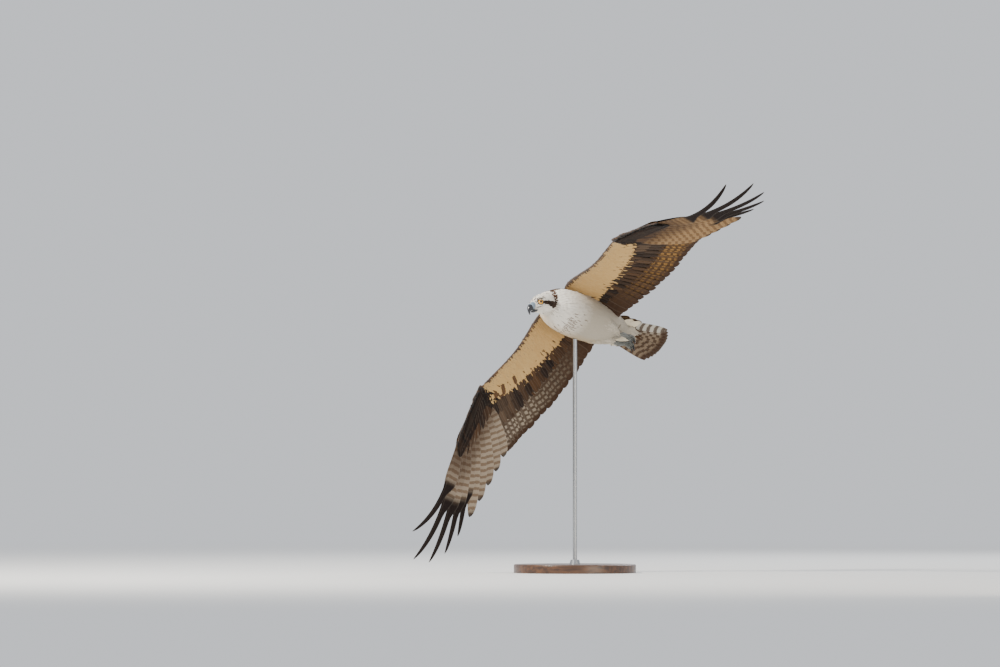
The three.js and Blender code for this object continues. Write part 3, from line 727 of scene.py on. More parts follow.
# %% Drawing a mass out of a circle
def draw_out(bm, rings):
    """A closed tube through rings of points, in metres, by extruding its end face."""
    order = bm.verts.layers.int.get("order") or bm.verts.layers.int.new("order")
    start = bmesh.ops.create_circle(bm, cap_ends=True, segments=len(rings[0]), radius=0.01)["verts"]
    for k, vert in enumerate(start):
        vert[order] = k
        vert.co = rings[0][k]
    face = max(start[0].link_faces, key=lambda f: len(f.verts))
    for number, ring in enumerate(rings[1:]):
        grown = bmesh.ops.extrude_face_region(bm, geom=[face])["geom"]
        if number:
            bmesh.ops.delete(bm, geom=[face], context="FACES_ONLY")
        face = next(g for g in grown if isinstance(g, bmesh.types.BMFace))
        for vert in face.verts:
            vert.co = ring[vert[order]]


print("masses are drawn out ring by ring")

# %% [markdown]
# ## Rings of head, neck and torso
# Head, neck, torso and rump are rows of oval rings. They are set a little inside the outline, because
# the feathers that lie on them add their own thickness.

# %% Rings of head, neck and torso
def oval(middle, across, up, half, above, below, sides, square=2.0):
    """A ring of points round a middle, with its own width and reach up and down."""
    angle = np.linspace(0, 2 * np.pi, sides, endpoint=False)
    c = np.sign(np.cos(angle)) * np.abs(np.cos(angle)) ** (2 / square)
    s = np.sign(np.sin(angle)) * np.abs(np.sin(angle)) ** (2 / square)
    reach = np.where(s > 0, above, below) * s
    return middle + across * (half * c)[:, None] + up * reach[:, None]


def upright_oval(middle, half, above, below, sides, square=2.0):
    """An oval ring that stands across the bird."""
    return oval(middle, np.array([0, 1.0, 0]), np.array([0, 0, 1.0]), half, above, below, sides, square)


def torso_rings(inset, count=30, sides=48):
    """Rings round the torso, from the chest to the root of the tail."""
    return [upright_oval(np.array([x, 0, middle]), half - inset, above - inset, below - inset, sides, 2.2)
            for x, middle, half, above, below in through(TORSO, np.linspace(0, 1, count))]


def rump_rings(stations_along):
    """Rings round the root of the tail."""
    return [upright_oval(TAIL_ROOT + np.array([x, 0, -3]), half, reach, reach, 28)
            for x, half, reach in stations_along]


def tube_rings(line, radii, sides=28, flat=1.0):
    """Rings round a line of points."""
    ahead = unit(np.gradient(line, axis=0))
    rings = []
    for point, way, radius in zip(line, ahead, radii):
        across = unit(np.cross([0, 0, 1.0], way))
        rings.append(oval(point, across, np.cross(way, across), radius, radius * flat, radius * flat, sides))
    return rings


def head_rings(inset, count=22, sides=40):
    """Rings round the head, from the bill's base to the nape."""
    rings = []
    for x, top, bottom, half in through(HEAD, np.linspace(0, 1, count)):
        reach = (top - bottom) / 2 - inset
        middle = from_head([x * 0.985, 0, (top + bottom) / 2])
        rings.append(oval(middle, HEAD_AXES[1], HEAD_AXES[2], half - inset, reach, reach, sides, 2.3))
    return rings


print("head rings", len(head_rings(0.0)))

# %% [markdown]
# ## Rings of the wings
# A wing's flesh is thick behind its leading edge and thins out to the rear. Each ring goes over the top
# of the wing and comes back underneath it.

# %% Rings of the wings
def wing_section(point, depth, shares):
    """A closed ring round a wing's flesh, over the top and back under."""
    over = [point(v, depth(v)) for v in shares]
    under = [point(v, -depth(v)) for v in shares[1:-1]]
    return np.array(over + under[::-1])


def arm_rings(side, inset):
    """Rings round the flesh of an arm, from shoulder to wrist."""
    shares = np.concatenate([[0.004, 0.02, 0.05], np.linspace(0.1, 0.62, 10)])
    rings = []
    for u in np.linspace(-0.04, 1.02, 26):
        rings.append(wing_section(lambda v, h: arm_point(side, u, v, h),
                                  lambda v: max(0.8, arm_depth(u, v) - inset), shares))
    return rings


def hand_rings(side, inset):
    """Rings round the flesh of a hand, from the wrist out."""
    shares = np.concatenate([[0.004, 0.02, 0.05], np.linspace(0.1, 0.62, 8)])
    rings = []
    for s in np.linspace(-24, 158, 20):
        deep, thick, drop = hand_flesh(s)

        def point(v, h):
            return hand_point(side, s, v / 0.64 * deep - 1, h + drop + 2 * math.sin(math.pi * v))

        def depth(v):
            return max(0.8, thick * np.interp(v, CORE_SHARE, CORE_SHAPE) / 2 - inset)

        rings.append(wing_section(point, depth, shares))
    return rings


# %% [markdown]
# ## Melting the masses into one skin
# On the bird one skin covers everything, with no step where neck, legs or wings begin. The masses are
# pushed into each other and melted together. A brow ridge over each eye gives the hard look of a bird
# of prey.

# %% One skin
SKIN_INSET = 3.0
HEAD_INSET = 1.6
ARM_INSET = 1.6
HAND_INSET = 1.4
SKIN_VOXEL = 0.0023

bm = bmesh.new()
masses = [torso_rings(SKIN_INSET), head_rings(HEAD_INSET)]
share = np.linspace(0, 1, 10)
neck_line = bezier(NECK_LINE[0], NECK_LINE[1], from_head([-12, 0, -3]), share)
masses.append(tube_rings(neck_line, np.interp(share, [0, 1], NECK_RADII) - SKIN_INSET, 32))
BROW = np.array([[31, 11, 10], [21, 28.5, 13], [7, 25, 11]], float)
BROW_RADIUS = 3.1
for side in (1, -1):
    ridge = from_head(bezier(*(mirror(p, side) for p in BROW), share))
    masses.append(tube_rings(ridge, np.full(10, BROW_RADIUS), 12))
    line = bezier(*LEGS[side][:3], share)
    masses.append(tube_rings(line, np.interp(share, [0, 1], [THIGH_RADIUS, ANKLE_RADIUS])))
    masses.append(arm_rings(side, ARM_INSET))
    masses.append(hand_rings(side, HAND_INSET))
rump_stations = through(RUMP, share)
masses.append(rump_rings(rump_stations))
for rings in masses:
    draw_out(bm, [place(ring) for ring in rings])
bmesh.ops.recalc_face_normals(bm, faces=bm.faces)
skin_mesh = bpy.data.meshes.new("skin")
bm.to_mesh(skin_mesh)
bm.free()
skin = as_object("skin", skin_mesh)


def apply_modifiers(piece):
    """Turns a piece's live modifiers into its mesh."""
    view = bpy.context.evaluated_depsgraph_get()
    shaped = bpy.data.meshes.new_from_object(piece.evaluated_get(view))
    piece.modifiers.clear()
    piece.data = shaped
    return shaped


remesh = skin.modifiers.new("melt", "REMESH")
remesh.mode = "VOXEL"
remesh.voxel_size = SKIN_VOXEL
relax = skin.modifiers.new("relax", "SMOOTH")
relax.factor = 0.5
relax.iterations = 6
apply_modifiers(skin)
skin.data.polygons.foreach_set("use_smooth", np.ones(len(skin.data.polygons), bool))
print("skin", 2 * len(skin.data.polygons), "triangles")

# %% [markdown]
# ## Which tract a point of skin belongs to
# Plumage grows in tracts. Sample points with known addresses are scattered over the head, neck,
# torso, legs and wings, and each point of skin takes the address of the nearest one. That gives its
# tract and its place in it, which decide a feather's size, lie and colour.

# %% Addresses
TRACTS = ["torso", "neck", "head", "leg", "arm", "hand", "rump"]
samples = []


def note_samples(tract, points, a, b, side):
    """Keeps sample points with their tract and address."""
    points = np.asarray(points, float).reshape(-1, 3)
    count = len(points)
    rows = np.stack([column(TRACTS.index(tract), count), column(a, count), column(b, count),
                     column(side, count)], -1)
    samples.append(np.concatenate([points, rows], axis=1))


for station, ring in zip(through(TORSO, np.linspace(0, 1, 60)), torso_rings(SKIN_INSET, 60, 64)):
    note_samples("torso", ring, station[0], np.arange(64) / 64, 0)
neck_radii = np.interp(share, [0, 1], NECK_RADII)[3:] - SKIN_INSET
for k, ring in enumerate(tube_rings(neck_line[3:], neck_radii, 40)):
    note_samples("neck", ring, k / 6, np.arange(40) / 40, 0)
for ring in head_rings(HEAD_INSET, 40, 48):
    note_samples("head", ring, to_head(ring)[:, 0], np.arange(48) / 48, 0)
fine = np.linspace(0, 1, 24)
for side in (1, -1):
    line = bezier(*LEGS[side][:3], fine)
    for k, ring in enumerate(tube_rings(line, np.interp(fine, [0, 1], [THIGH_RADIUS, ANKLE_RADIUS]), 20)):
        note_samples("leg", ring, k / 23, np.arange(20) / 20, side)
    for u in np.linspace(0.02, 1.0, 90):
        for face in (1, -1):
            v = np.linspace(0.004, 0.63, 40)
            h = face * np.maximum(0.5, arm_depth(u, v) - ARM_INSET)
            note_samples("arm", arm_point(side, np.full(40, u), v, h), u, v * face, side)
    for s in np.linspace(-20, 160, 60):
        deep, thick, drop = hand_flesh(s)
        for face in (1, -1):
            v = np.linspace(0.004, 0.62, 24)
            h = face * np.maximum(0.5, thick * np.interp(v, CORE_SHARE, CORE_SHAPE) / 2 - HAND_INSET)
            flesh = hand_point(side, np.full(24, s), v / 0.64 * deep - 1, h + drop)
            note_samples("hand", flesh, s, v * face, side)
for station, ring in zip(rump_stations, rump_rings(rump_stations)):
    note_samples("rump", ring, station[0], np.arange(28) / 28, 0)
samples = np.concatenate(samples)
tree = kdtree.KDTree(len(samples))
for k, point in enumerate(samples[:, :3]):
    tree.insert(Vector(point), k)
tree.balance()
print("addresses", len(samples))

# %% [markdown]
# ## Where feathers grow
# Points are drawn at random over the skin's faces, by their area, and then thinned so that no two are
# closer than the tract's spacing. The spacing is smallest on the face and widest on the back and
# belly, as on the bird.

# %% Scattering follicles
SPACING = {"torso": 4.4, "neck": 3.4, "head": 1.75, "leg": 3.6, "arm": 4.1, "hand": 4.2, "rump": 5.5}
CANDIDATES = 190000
HEAD_REACH = 62.0


def scatter(piece, count):
    """Random points and normals on a mesh, in the bird's frame."""
    mesh = piece.data
    mesh.calc_loop_triangles()
    co = np.zeros(len(mesh.vertices) * 3, np.float32)
    mesh.vertices.foreach_get("co", co)
    co = co.reshape(-1, 3).astype(float)
    tri = np.zeros(len(mesh.loop_triangles) * 3, np.int32)
    mesh.loop_triangles.foreach_get("vertices", tri)
    a, b, c = (co[tri.reshape(-1, 3)[:, k]] for k in range(3))
    normal = np.cross(b - a, c - a)
    area = np.linalg.norm(normal, axis=1)
    middle = ((a + b + c) / 3 * 1000 - ORIGIN) @ BANK.T
    near_head = np.linalg.norm(middle - HEAD_PLACE, axis=1) < 52
    weight = area * np.where(near_head, 7.0, 1.0)
    pick = draw.choice(len(area), count, p=weight / weight.sum())
    r1, r2 = np.sqrt(draw.random(count)), draw.random(count)
    spot = a[pick] * (1 - r1)[:, None] + b[pick] * (r1 * (1 - r2))[:, None] + c[pick] * (r1 * r2)[:, None]
    return (spot * 1000 - ORIGIN) @ BANK.T, unit(normal[pick]) @ BANK.T


print("candidates", CANDIDATES)

# %% [markdown]
# ## Thinning the follicles
# Each candidate finds its address from the nearest sample. Those too near to one already kept are
# dropped, which leaves an even, slightly irregular pattern like that of real feather follicles.

# %% Thinning the follicles
points, normals = scatter(skin, CANDIDATES)
address = samples[[tree.find(Vector(p))[1] for p in points], 3:]
spacing = np.array([SPACING[name] for name in TRACTS])[address[:, 0].astype(int)]
by_head = np.linalg.norm(points - HEAD_PLACE, axis=1) < HEAD_REACH
spacing = np.where(by_head, np.minimum(spacing, 2.7), spacing)
CELL = 9.0
cells = {}
kept = []
for k in range(len(points)):
    key = tuple((points[k] // CELL).astype(int))
    near = [q for dx in (-1, 0, 1) for dy in (-1, 0, 1) for dz in (-1, 0, 1)
            for q in cells.get((key[0] + dx, key[1] + dy, key[2] + dz), ())]
    if near:
        gaps = points[near] - points[k]
        if np.min(np.einsum("ij,ij->i", gaps, gaps)) < spacing[k] ** 2:
            continue
    cells.setdefault(key, []).append(k)
    kept.append(k)
points, normals, address = points[kept], normals[kept], address[kept]
tract = address[:, 0].astype(int)


def in_tract(*names):
    """Which follicles are in the tracts named."""
    return np.isin(tract, [TRACTS.index(name) for name in names])


print("follicles", {name: int((tract == k).sum()) for k, name in enumerate(TRACTS)})

# %% [markdown]
# ## Markings
# The colour of each small feather comes from its address. The head is white with a dark stripe from
# the eye to the nape and fine streaks on the crown, the underside is white with a streaked breast
# band, the back is dark brown, and the wing linings are buff with a dark leading edge, a black patch
# at the wrist and a dark band of greater coverts.

# %% Colours by tract
def stripe_middle(hx):
    """Height of the dark eye stripe on the head's side, which sinks towards the neck."""
    return 0.9 + (hx - 20) * 0.43


def collar(place_on_head, luck):
    """Whether a feather is in the rusty band that climbs from the stripe's end over the nape."""
    hx, hy, hz = place_on_head.T
    middle = -25 - 0.5 * (np.clip(hz, -26, 40) + 24)
    sideways = (hz > -2) | (np.abs(hy) > 14)
    lowest = np.where(hy < 0, -6, -25)
    return (np.abs(hx - middle) < 7.5) & (hz > lowest) & sideways & (luck < 0.9)


def head_colours(place_on_head, luck):
    """White face and crown, dark eye stripe and lores, streaked forehead."""
    hx, hy, hz = place_on_head.T
    colours = blend_colours(WHITE, SHADE_WHITE, luck * 0.3)
    back = np.clip((16 - hx) / 50, 0, 1)
    stripe = (np.abs(hz - stripe_middle(hx)) < 5.2 + 5.8 * back) & (hx < 18) & (np.abs(hy) > 10)
    lores = (np.abs(hz - 4.5) < 5.5) & (hx >= 18) & (hx < 34) & (np.abs(hy) > 7)
    brow = (hz >= 10) & (hz < 14) & (hx > 12) & (hx < 30) & (np.abs(hy) > 10)
    forehead = (hx > 20) & (hz > 13) & (luck < 0.4)
    crown = (hz > 20) & (np.abs(hy) < 12) & (luck < 0.22)
    colours[crown] = BROWN
    colours[brow & (luck < 0.8)] = CHOCOLATE
    colours[forehead] = blend_colours(RUSTY, BROWN, luck[forehead])
    colours[stripe] = blend_colours(BLACKISH, CHOCOLATE, luck[stripe] * 0.8)
    colours[lores] = np.where(luck[lores, None] < 0.75, CHOCOLATE * 0.8, SHADE_WHITE)
    return colours


def collared(colours, at, luck):
    """The colours given, with the collar and the stripe's end laid over them."""
    near = to_head(at)
    banded = collar(near, luck) & (near[:, 1] > -18)
    stripe = np.abs(near[:, 2] - stripe_middle(near[:, 0])) < 9
    banded |= stripe & (near[:, 0] > -34) & (near[:, 0] < -10) & (near[:, 1] > 12) & (luck < 0.95)
    high = np.clip((near[banded, 2] + 10) / 24, 0, 1)
    low = blend_colours(BLACKISH, CHOCOLATE, luck[banded])
    colours[banded] = blend_colours(low, RUSTY * 1.25, high * luck[banded] * 1.6)
    return colours


print("eye stripe at the eye", stripe_middle(EYE_PLACE[0]))

# %% [markdown]
# ## Colours of the body
# The bird is pale below and dark above, which hides it from fish and from other birds. Painted shade greys
# the belly to a grey beige towards the tail, and painted warm light thrown up from below tints its right
# side.

# %% Colours of the body
def breast_streaks(at, normal, luck):
    """Whether a feather is one of the dark ones of the breast band, densest near the middle."""
    reach = np.exp(-((at[:, 0] - 22) / 17) ** 2 - ((at[:, 1] + 5) / 30) ** 2)
    return (luck < reach * 1.05) & (normal[:, 2] < 0.2)


def body_colours(at, normal, luck):
    """White below, dark brown above, and the collar where it runs on to the shoulders."""
    up = normal[:, 2]
    colours = blend_colours(WHITE, SHADE_WHITE, luck * 0.5)
    # Painted shade: the belly greys towards the tail.
    colours = blend_colours(colours, PAINTED_BELLY_SHADE, np.clip((44 - at[:, 0]) / 75, 0, 1) * 0.9)
    # Painted warm light thrown up from below on the right side.
    colours = blend_colours(colours, BUFF * 0.95, np.clip(-normal[:, 1] * 1.4 - 0.3, 0, 1) * 0.6)
    colours = collared(colours, at, luck)
    dark = up > np.where(at[:, 0] < -130, 0.26, 0.38) + 0.16 * (luck - 0.5)
    colours[dark] = blend_colours(CHOCOLATE, BROWN, luck[dark] * 0.6)
    colours[dark & (luck > 0.96)] = BROWN * 1.25
    return colours


def neck_colours(at, normal, luck):
    """White sides and throat, with a rusty collar behind the head and a brown hind neck."""
    colours = blend_colours(WHITE, SHADE_WHITE, luck * 0.4)
    # Painted shade where the throat faces down.
    colours = blend_colours(colours, PAINTED_BELLY_SHADE, np.clip(-normal[:, 2] - 0.25, 0, 1) * 0.8)
    hind = (normal[:, 2] > 0.62) & (luck < 0.6)
    colours[hind] = blend_colours(BROWN, RUSTY, luck[hind])
    return collared(colours, at, luck)


print("body and neck colours ready")

# %% [markdown]
# ## Colours of the wing
# Below, the lining is buff with a thin dark leading edge, a black wrist patch and a dark band behind
# it. Above, the whole wing is dark brown.

# %% Colours of the wing
def buff_edge(u):
    """How far back from the leading edge the buff lining reaches."""
    return np.interp(u, [0, 0.25, 0.5, 0.75, 0.9, 1.0], [0.58, 0.51, 0.41, 0.32, 0.2, 0.1])


def arm_colours(u, v, luck):
    """Buff lining with a few dark spots and a dark leading edge. The upper face is dark brown."""
    below = v < 0
    chord = np.abs(v)
    colours = blend_colours(BUFF, GOLD, 0.3 - 0.3 * u + 0.3 * (luck - 0.5)) * 0.92
    spotted = (chord > buff_edge(u) - 0.16) & (luck < 0.16) & (u > 0.12)
    colours[spotted] = BROWN
    past = chord > buff_edge(u) + 0.03 * (luck - 0.5)
    colours[past] = blend_colours(CHOCOLATE, BLACKISH, luck[past])
    rim = chord < 0.022 + 0.014 * luck
    colours[rim] = np.where(luck[rim, None] < 0.6, CHOCOLATE, BROWN)
    colours[~below] = blend_colours(CHOCOLATE, BROWN, luck[~below] * 0.6)
    return colours


def hand_colours(s, v, luck):
    """Black wrist patch along the leading edge, buff and grey behind it. The upper face is dark."""
    below = v < 0
    chord = np.abs(v)
    colours = blend_colours(BLACKISH * 0.6, CHOCOLATE * 0.8, luck * 0.45)
    pale = (chord > 0.5) & (luck < 0.3)
    colours[pale] = BUFF * 0.7
    colours[~below] = blend_colours(CHOCOLATE, BROWN, luck[~below] * 0.6)
    return colours


print("buff lining at the body", buff_edge(0.0))

# %% [markdown]
# ## Colour of every small feather
# Each feather draws a number for luck, which varies its shade and decides spots and streaks, so no two
# neighbours match exactly.

# %% Colour of every small feather
luck = draw.random(len(points))
colours = np.zeros((len(points), 3))
on_head = to_head(points)
for k, name in enumerate(TRACTS):
    here = tract == k
    if name == "head":
        colours[here] = collared(head_colours(on_head[here], luck[here]), points[here], luck[here])
    elif name == "neck":
        colours[here] = neck_colours(points[here], normals[here], luck[here])
    elif name == "arm":
        colours[here] = arm_colours(address[here, 1], address[here, 2], luck[here])
    elif name == "hand":
        colours[here] = hand_colours(address[here, 1], address[here, 2], luck[here])
    elif name == "leg":
        # Painted shade on the leg feathers, which lie under the belly.
        colours[here] = blend_colours(PAINTED_BELLY_SHADE, SHADE_WHITE, luck[here] * 0.5)
    else:
        colours[here] = body_colours(points[here], normals[here], luck[here])
streak = np.where(breast_streaks(points, normals, luck) & in_tract("torso", "neck"), 0.85, 0.0)
print("mean plumage colour", colours.mean(0))

# %% [markdown]
# ## Lie of the coat
# Feathers point the way air flows over the bird: from the bill back over the head, down the neck,
# along the body to the tail, down each leg and from the front of each wing to its rear.

# %% Flow, length and width of each feather
BACKWARD = np.array([-1.0, 0.0, 0.0])
LENGTH = {"torso": 24.0, "neck": 17.0, "head": 7.5, "leg": 14.0, "arm": 18.0, "hand": 18.0, "rump": 28.0}
WIDTH = {"torso": 7.4, "neck": 5.2, "head": 2.0, "leg": 5.0, "arm": 6.6, "hand": 6.8, "rump": 8.5}
flow = np.tile(BACKWARD, (len(points), 1))
flow = np.where(in_tract("head")[:, None], -HEAD_FORWARD, flow)
neck_way = unit(NECK_LINE[0] - from_head([-12, 0, -3]))
flow = np.where(in_tract("neck")[:, None], neck_way, flow)
for side in (1, -1):
    mine = address[:, 3] == side
    leg_way = unit(LEGS[side][2] - LEGS[side][0])
    flow = np.where((mine & in_tract("leg"))[:, None], leg_way, flow)
    arm_way = unit(mirror([-1.0, 0.25, -0.1], side))
    flow = np.where((mine & in_tract("arm"))[:, None], arm_way, flow)
    hand_way = unit(mirror(HAND_BACK, side) + mirror(HAND_OUT, side) * 0.9)
    flow = np.where((mine & in_tract("hand"))[:, None], hand_way, flow)
flow = flow + draw.normal(0, 0.07, flow.shape)
flow = unit(flow - normals * np.sum(flow * normals, 1, keepdims=True))
length = np.array([LENGTH[name] for name in TRACTS])[tract] * draw.uniform(0.85, 1.15, len(points))
width = np.array([WIDTH[name] for name in TRACTS])[tract] * draw.uniform(0.9, 1.1, len(points))
face = in_tract("head")
near_head = ~face & (np.linalg.norm(points - HEAD_PLACE, axis=1) < HEAD_REACH)
length = np.where(near_head, length * 0.62, length)
width = np.where(near_head, width * 0.66, width)
ahead_of_eye = np.clip((on_head[:, 0] - 5) / 30, 0, 1)
length = np.where(face, length * (1 - 0.55 * ahead_of_eye), length)
width = np.where(face, width * (1 - 0.35 * ahead_of_eye), width)
chord = np.abs(address[:, 2])
winged = in_tract("arm", "hand")
full_grown = np.clip(0.55 + chord * 2.0, 0.55, 1.2)
length = np.where(winged, length * np.clip(0.3 + chord * 5.0, 0.3, full_grown), length)
width = np.where(winged, width * np.clip(0.62 + chord * 1.6, 0.62, 1.15), width)
print("feather length", length.min(), length.max())

# %% [markdown]
# ## Laying the small feathers
# Each small feather lies on its neighbours like a tile. Its root is sunk into the skin, and its tip
# and middle are lifted just over it, so it bends with the body. Feathers that would cross an eye or
# the bill are left out or turned aside.

# %% Lie of every small feather
EYE_CLEAR = EYE_RADIUS + 1.0
clear_of_eye = np.ones(len(points), bool)
for side in (1, -1):
    eye = from_head(mirror(EYE_PLACE, side))
    clear_of_eye &= np.linalg.norm(points - eye, axis=1) > EYE_CLEAR
off_bill = ~(face & (on_head[:, 0] > 36.5))
lift = np.where(face, 0.13, np.where(winged, 0.07, 0.095)) * length
sink = np.where(face, 0.2, 0.3)
spots = np.zeros(len(skin.data.vertices) * 3, np.float32)
skin.data.vertices.foreach_get("co", spots)
spots = (spots.reshape(-1, 3) * 1000 - ORIGIN) @ BANK.T
surface = BVHTree.FromPolygons([tuple(p) for p in spots], [tuple(p.vertices) for p in skin.data.polygons])


def nearest_skin(wanted):
    """The nearest places on the skin and the skin's normals there."""
    found = [surface.find_nearest(Vector(p)) for p in wanted]
    return np.array([f[0] for f in found]), np.array([f[1] for f in found])


roots = points - normals * sink[:, None]
aimed = points + flow * length[:, None]
landing, facing = nearest_skin(aimed)
lies = np.linalg.norm(landing - aimed, axis=1) < 0.45 * length
lies &= np.sum(facing * normals, axis=1) > 0.25
tips = np.where(lies[:, None], landing + facing * lift[:, None], aimed + normals * lift[:, None])
for side in (1, -1):
    eye = from_head(mirror(EYE_PLACE, side))
    reach = np.linalg.norm(tips - eye, axis=1)
    crosses = (reach < EYE_CLEAR + 0.4) & face
    tips[crosses] = eye + unit(tips[crosses] - eye) * (EYE_CLEAR + 0.4)
middle = (roots + tips) / 2
landing, facing = nearest_skin(middle)
above_middle = np.sum((landing - middle) * normals, axis=1) + 0.6 * lift
bend = np.where(lies, -np.clip(above_middle, -0.05 * length, 0.3 * length) / 0.79, -0.03 * length)
bake = np.stack([np.mod(address[:, 1] * 0.0031 + tract * 0.137, 1.0) * 0.99,
                 np.mod(np.abs(address[:, 2]) * 0.45 + address[:, 3] * 0.2 + 0.25, 1.0) * 0.99], -1)
print("feathers that lie on the skin", int(lies.sum()))

# %% [markdown]
# ## The coat in pieces
# The coat is split by tract, so that each piece stands for the solids under it. Wing feathers that
# would stand off the leading edge are left out.

# %% Small feathers by tract
def small_feathers(name, chosen, slot, *nodes):
    """The body feathers of one tract as one piece."""
    half = width[chosen] / 2
    piece = feather_mesh(name, roots[chosen], tips[chosen], normals[chosen], half, half, [COAT, COAT],
                         colours[chosen], bow=bend[chosen], tilt=0.03, thick=0.36, camber=0.04, rows=4,
                         cols=2, bars=streak[chosen], bake=bake[chosen])
    settle(piece, slot, *nodes)


sticks_out = winged & ~lies & (chord < 0.35)
keep = clear_of_eye & off_bill & ~sticks_out
on_body = keep & in_tract("torso", "rump")
small_feathers("coat_torso_left", on_body & (points[:, 1] >= 0), "white_plumage", "torso")
small_feathers("coat_torso_right", on_body & (points[:, 1] < 0), "white_plumage", "torso")
small_feathers("coat_neck", keep & in_tract("neck"), "head_plumage", "neck")
small_feathers("coat_head", keep & face, "head_plumage", "head")
small_feathers("coat_legs", keep & in_tract("leg"), "white_plumage", "leg_left", "leg_right")
small_feathers("coat_wing_left", keep & winged & (address[:, 3] > 0), "wing_plumage")
small_feathers("coat_wing_right", keep & winged & (address[:, 3] < 0), "wing_plumage")

# %% [markdown]
# ## The skin under the coat
# Between feathers the down shows. The skin takes the colour of the nearest feather, darkened as painted shade
# under the coat, so a gap never shows as a bright spot.

# %% Skin finish
skin_finish = Finish("downy_skin", 0.85, Sheen_Weight=0.3)
down = skin_finish.noise(260.0, 4.0)
tone = skin_finish.add("ShaderNodeAttribute", {"attribute_name": "plumage"}).outputs["Color"]
skin_finish.colour(skin_finish.mix(1.0, tone, skin_finish.math("MULTIPLY_ADD", down, 0.3, 0.8), "MULTIPLY"))
skin_finish.bump(down, 0.0008, 0.5)
skin.data.materials.clear()
skin.data.materials.append(skin_finish.material)
coat_tree = kdtree.KDTree(len(points))
for k, point in enumerate(points):
    coat_tree.insert(Vector(point), k)
coat_tree.balance()
nearest = [coat_tree.find(Vector(p))[1] for p in spots]
painted_shade_tint = np.ones((len(spots), 4), np.float32)
# The skin is a fifth darker than its feather, as painted shade under the coat.
painted_shade_tint[:, :3] = colours[nearest] * 0.8
skin.data.color_attributes.new("plumage", "FLOAT_COLOR", "POINT").data.foreach_set("color", painted_shade_tint.ravel())
settle(skin, "white_plumage", "torso", "neck", "head", "leg_left", "leg_right")
print("skin painted", len(spots))

# %% [markdown]
# ## Flight feathers
# Ten primaries fan from the hand, the outer five cut in to form the osprey's fingers, and the
# secondaries run side by side along the arm. Their undersides are pale with dark bars on the hand
# and dark with pale bars on the arm. The upper sides are dark brown. Each is a long closed vane with
# a fine grid, so its bow and shaft stay smooth.

# %% Primaries
def primaries(side):
    """The ten primaries of one hand."""
    share = np.linspace(0, 1, 10)
    start = HAND_BONE["from"] + (HAND_BONE["to"] - HAND_BONE["from"]) * share
    back = HAND_BONE["back"] + (HAND_BONE["front"] - HAND_BONE["back"]) * share
    root = hand_point(side, start, back, 0.5 - 3 * share)
    tip = hand_point(side, start + PRIMARY_LENGTH * np.cos(PRIMARY_FAN),
                     17 + PRIMARY_LENGTH * np.sin(PRIMARY_FAN), PRIMARY_LIFT)
    rows = 26
    t = stations(rows)
    inner_shape = np.zeros((10, rows + 1))
    outer_shape = np.zeros((10, rows + 1))
    for i in range(10):
        if i < FINGERS_FROM:
            inner_shape[i] = outer_shape[i] = round_tip(t)
        else:
            notch = 0.62 - 0.16 * (i - FINGERS_FROM) / 4
            inner_shape[i] = finger_tip(t, notch)
            outer_shape[i] = finger_tip(t, notch - 0.06)
    fingered = np.arange(10) >= FINGERS_FROM
    full = np.where(fingered, 34.0, 30.0)
    dark = np.where(fingered, 0.6 - 0.16 * (np.arange(10) - FINGERS_FROM) / 4, 0.95)
    # The left hand's undersides are tinted gold by painted warm light on that wing, the right one's stay grey
    # beige.
    pale = blend_colours(GREY_BEIGE * 0.78, GOLD * 0.62, column(0.75 if side > 0 else 0.1, 10))
    return feather_mesh(
        f"primaries_{'left' if side > 0 else 'right'}", root, tip, np.tile(mirror(HAND_UP, side), (10, 1)),
        np.where(fingered, 0.34, 0.42) * full, np.where(fingered, 0.9, 0.95) * full,
        [WING_ABOVE, WING_BELOW], CHOCOLATE, below=pale, side=side, bow=PRIMARY_BOW, tilt=0.16, thick=1.6,
        camber=0.03, rows=rows, cols=8, shape=inner_shape, shape_out=outer_shape,
        bars=0.4, dark_from=dark, bars_below=0.62, dark_below=dark, atlas=True)


for side, word in SIDES:
    settle(primaries(side), "wing_plumage", f"wing_{word}_hand")

# %% [markdown]
# ## Secondaries
# The secondaries lie side by side along the arm, each overlapping the next, and their blunt ends make
# the scalloped rear edge of the wing. Below they are dark, with rows of pale spots.

# %% Secondaries
def secondaries(side):
    """The secondaries of one arm."""
    count = SECONDARIES
    u = (np.arange(count) + 0.5) / count
    pitch = ARM_SPAN / count
    root = arm_point(side, 0.08 + 0.86 * u, np.full(count, 0.4))
    tip = arm_point(side, u, np.ones(count))
    ragged = draw.uniform(-2.5, 1.0, count)[:, None]
    tip = tip + unit(tip - root) * ragged
    dark = blend_colours(BROWN, CHOCOLATE, 1 - u)
    # The left arm's pale spots are gold from painted warm light on that wing, the right one's are grey.
    ground, outermost = (GOLD * 0.5, GOLD * 0.7) if side > 0 else (PALE_SPOT * 0.5, GREY_BEIGE * 0.82)
    pale = blend_colours(CHOCOLATE * 0.85, ground, np.clip(u * 1.8 - 0.35, 0, 1))
    pale = blend_colours(pale, outermost, np.clip(u * 2.4 - 1.4, 0, 1))
    return feather_mesh(
        f"secondaries_{'left' if side > 0 else 'right'}", root, tip, arm_up(side, u),
        np.full(count, 0.6 * pitch), np.full(count, 1.3 * pitch), [WING_ABOVE, SECONDARY_BELOW],
        dark, below=pale, side=side, tilt=0.075, thick=1.4, camber=0.03, rows=22, cols=6, shape=blunt_tip,
        bars=0.25, bars_below=0.85, dark_below=0.86, atlas=True)


for side, word in SIDES:
    settle(secondaries(side), "wing_plumage", f"wing_{word}_arm")

# %% [markdown]
# ## Coverts
# Rows of coverts lie over the roots of the flight feathers on both faces of the wing. The greater
# row is longest, the median rows are shorter, and the scattered lesser coverts fill the rest.

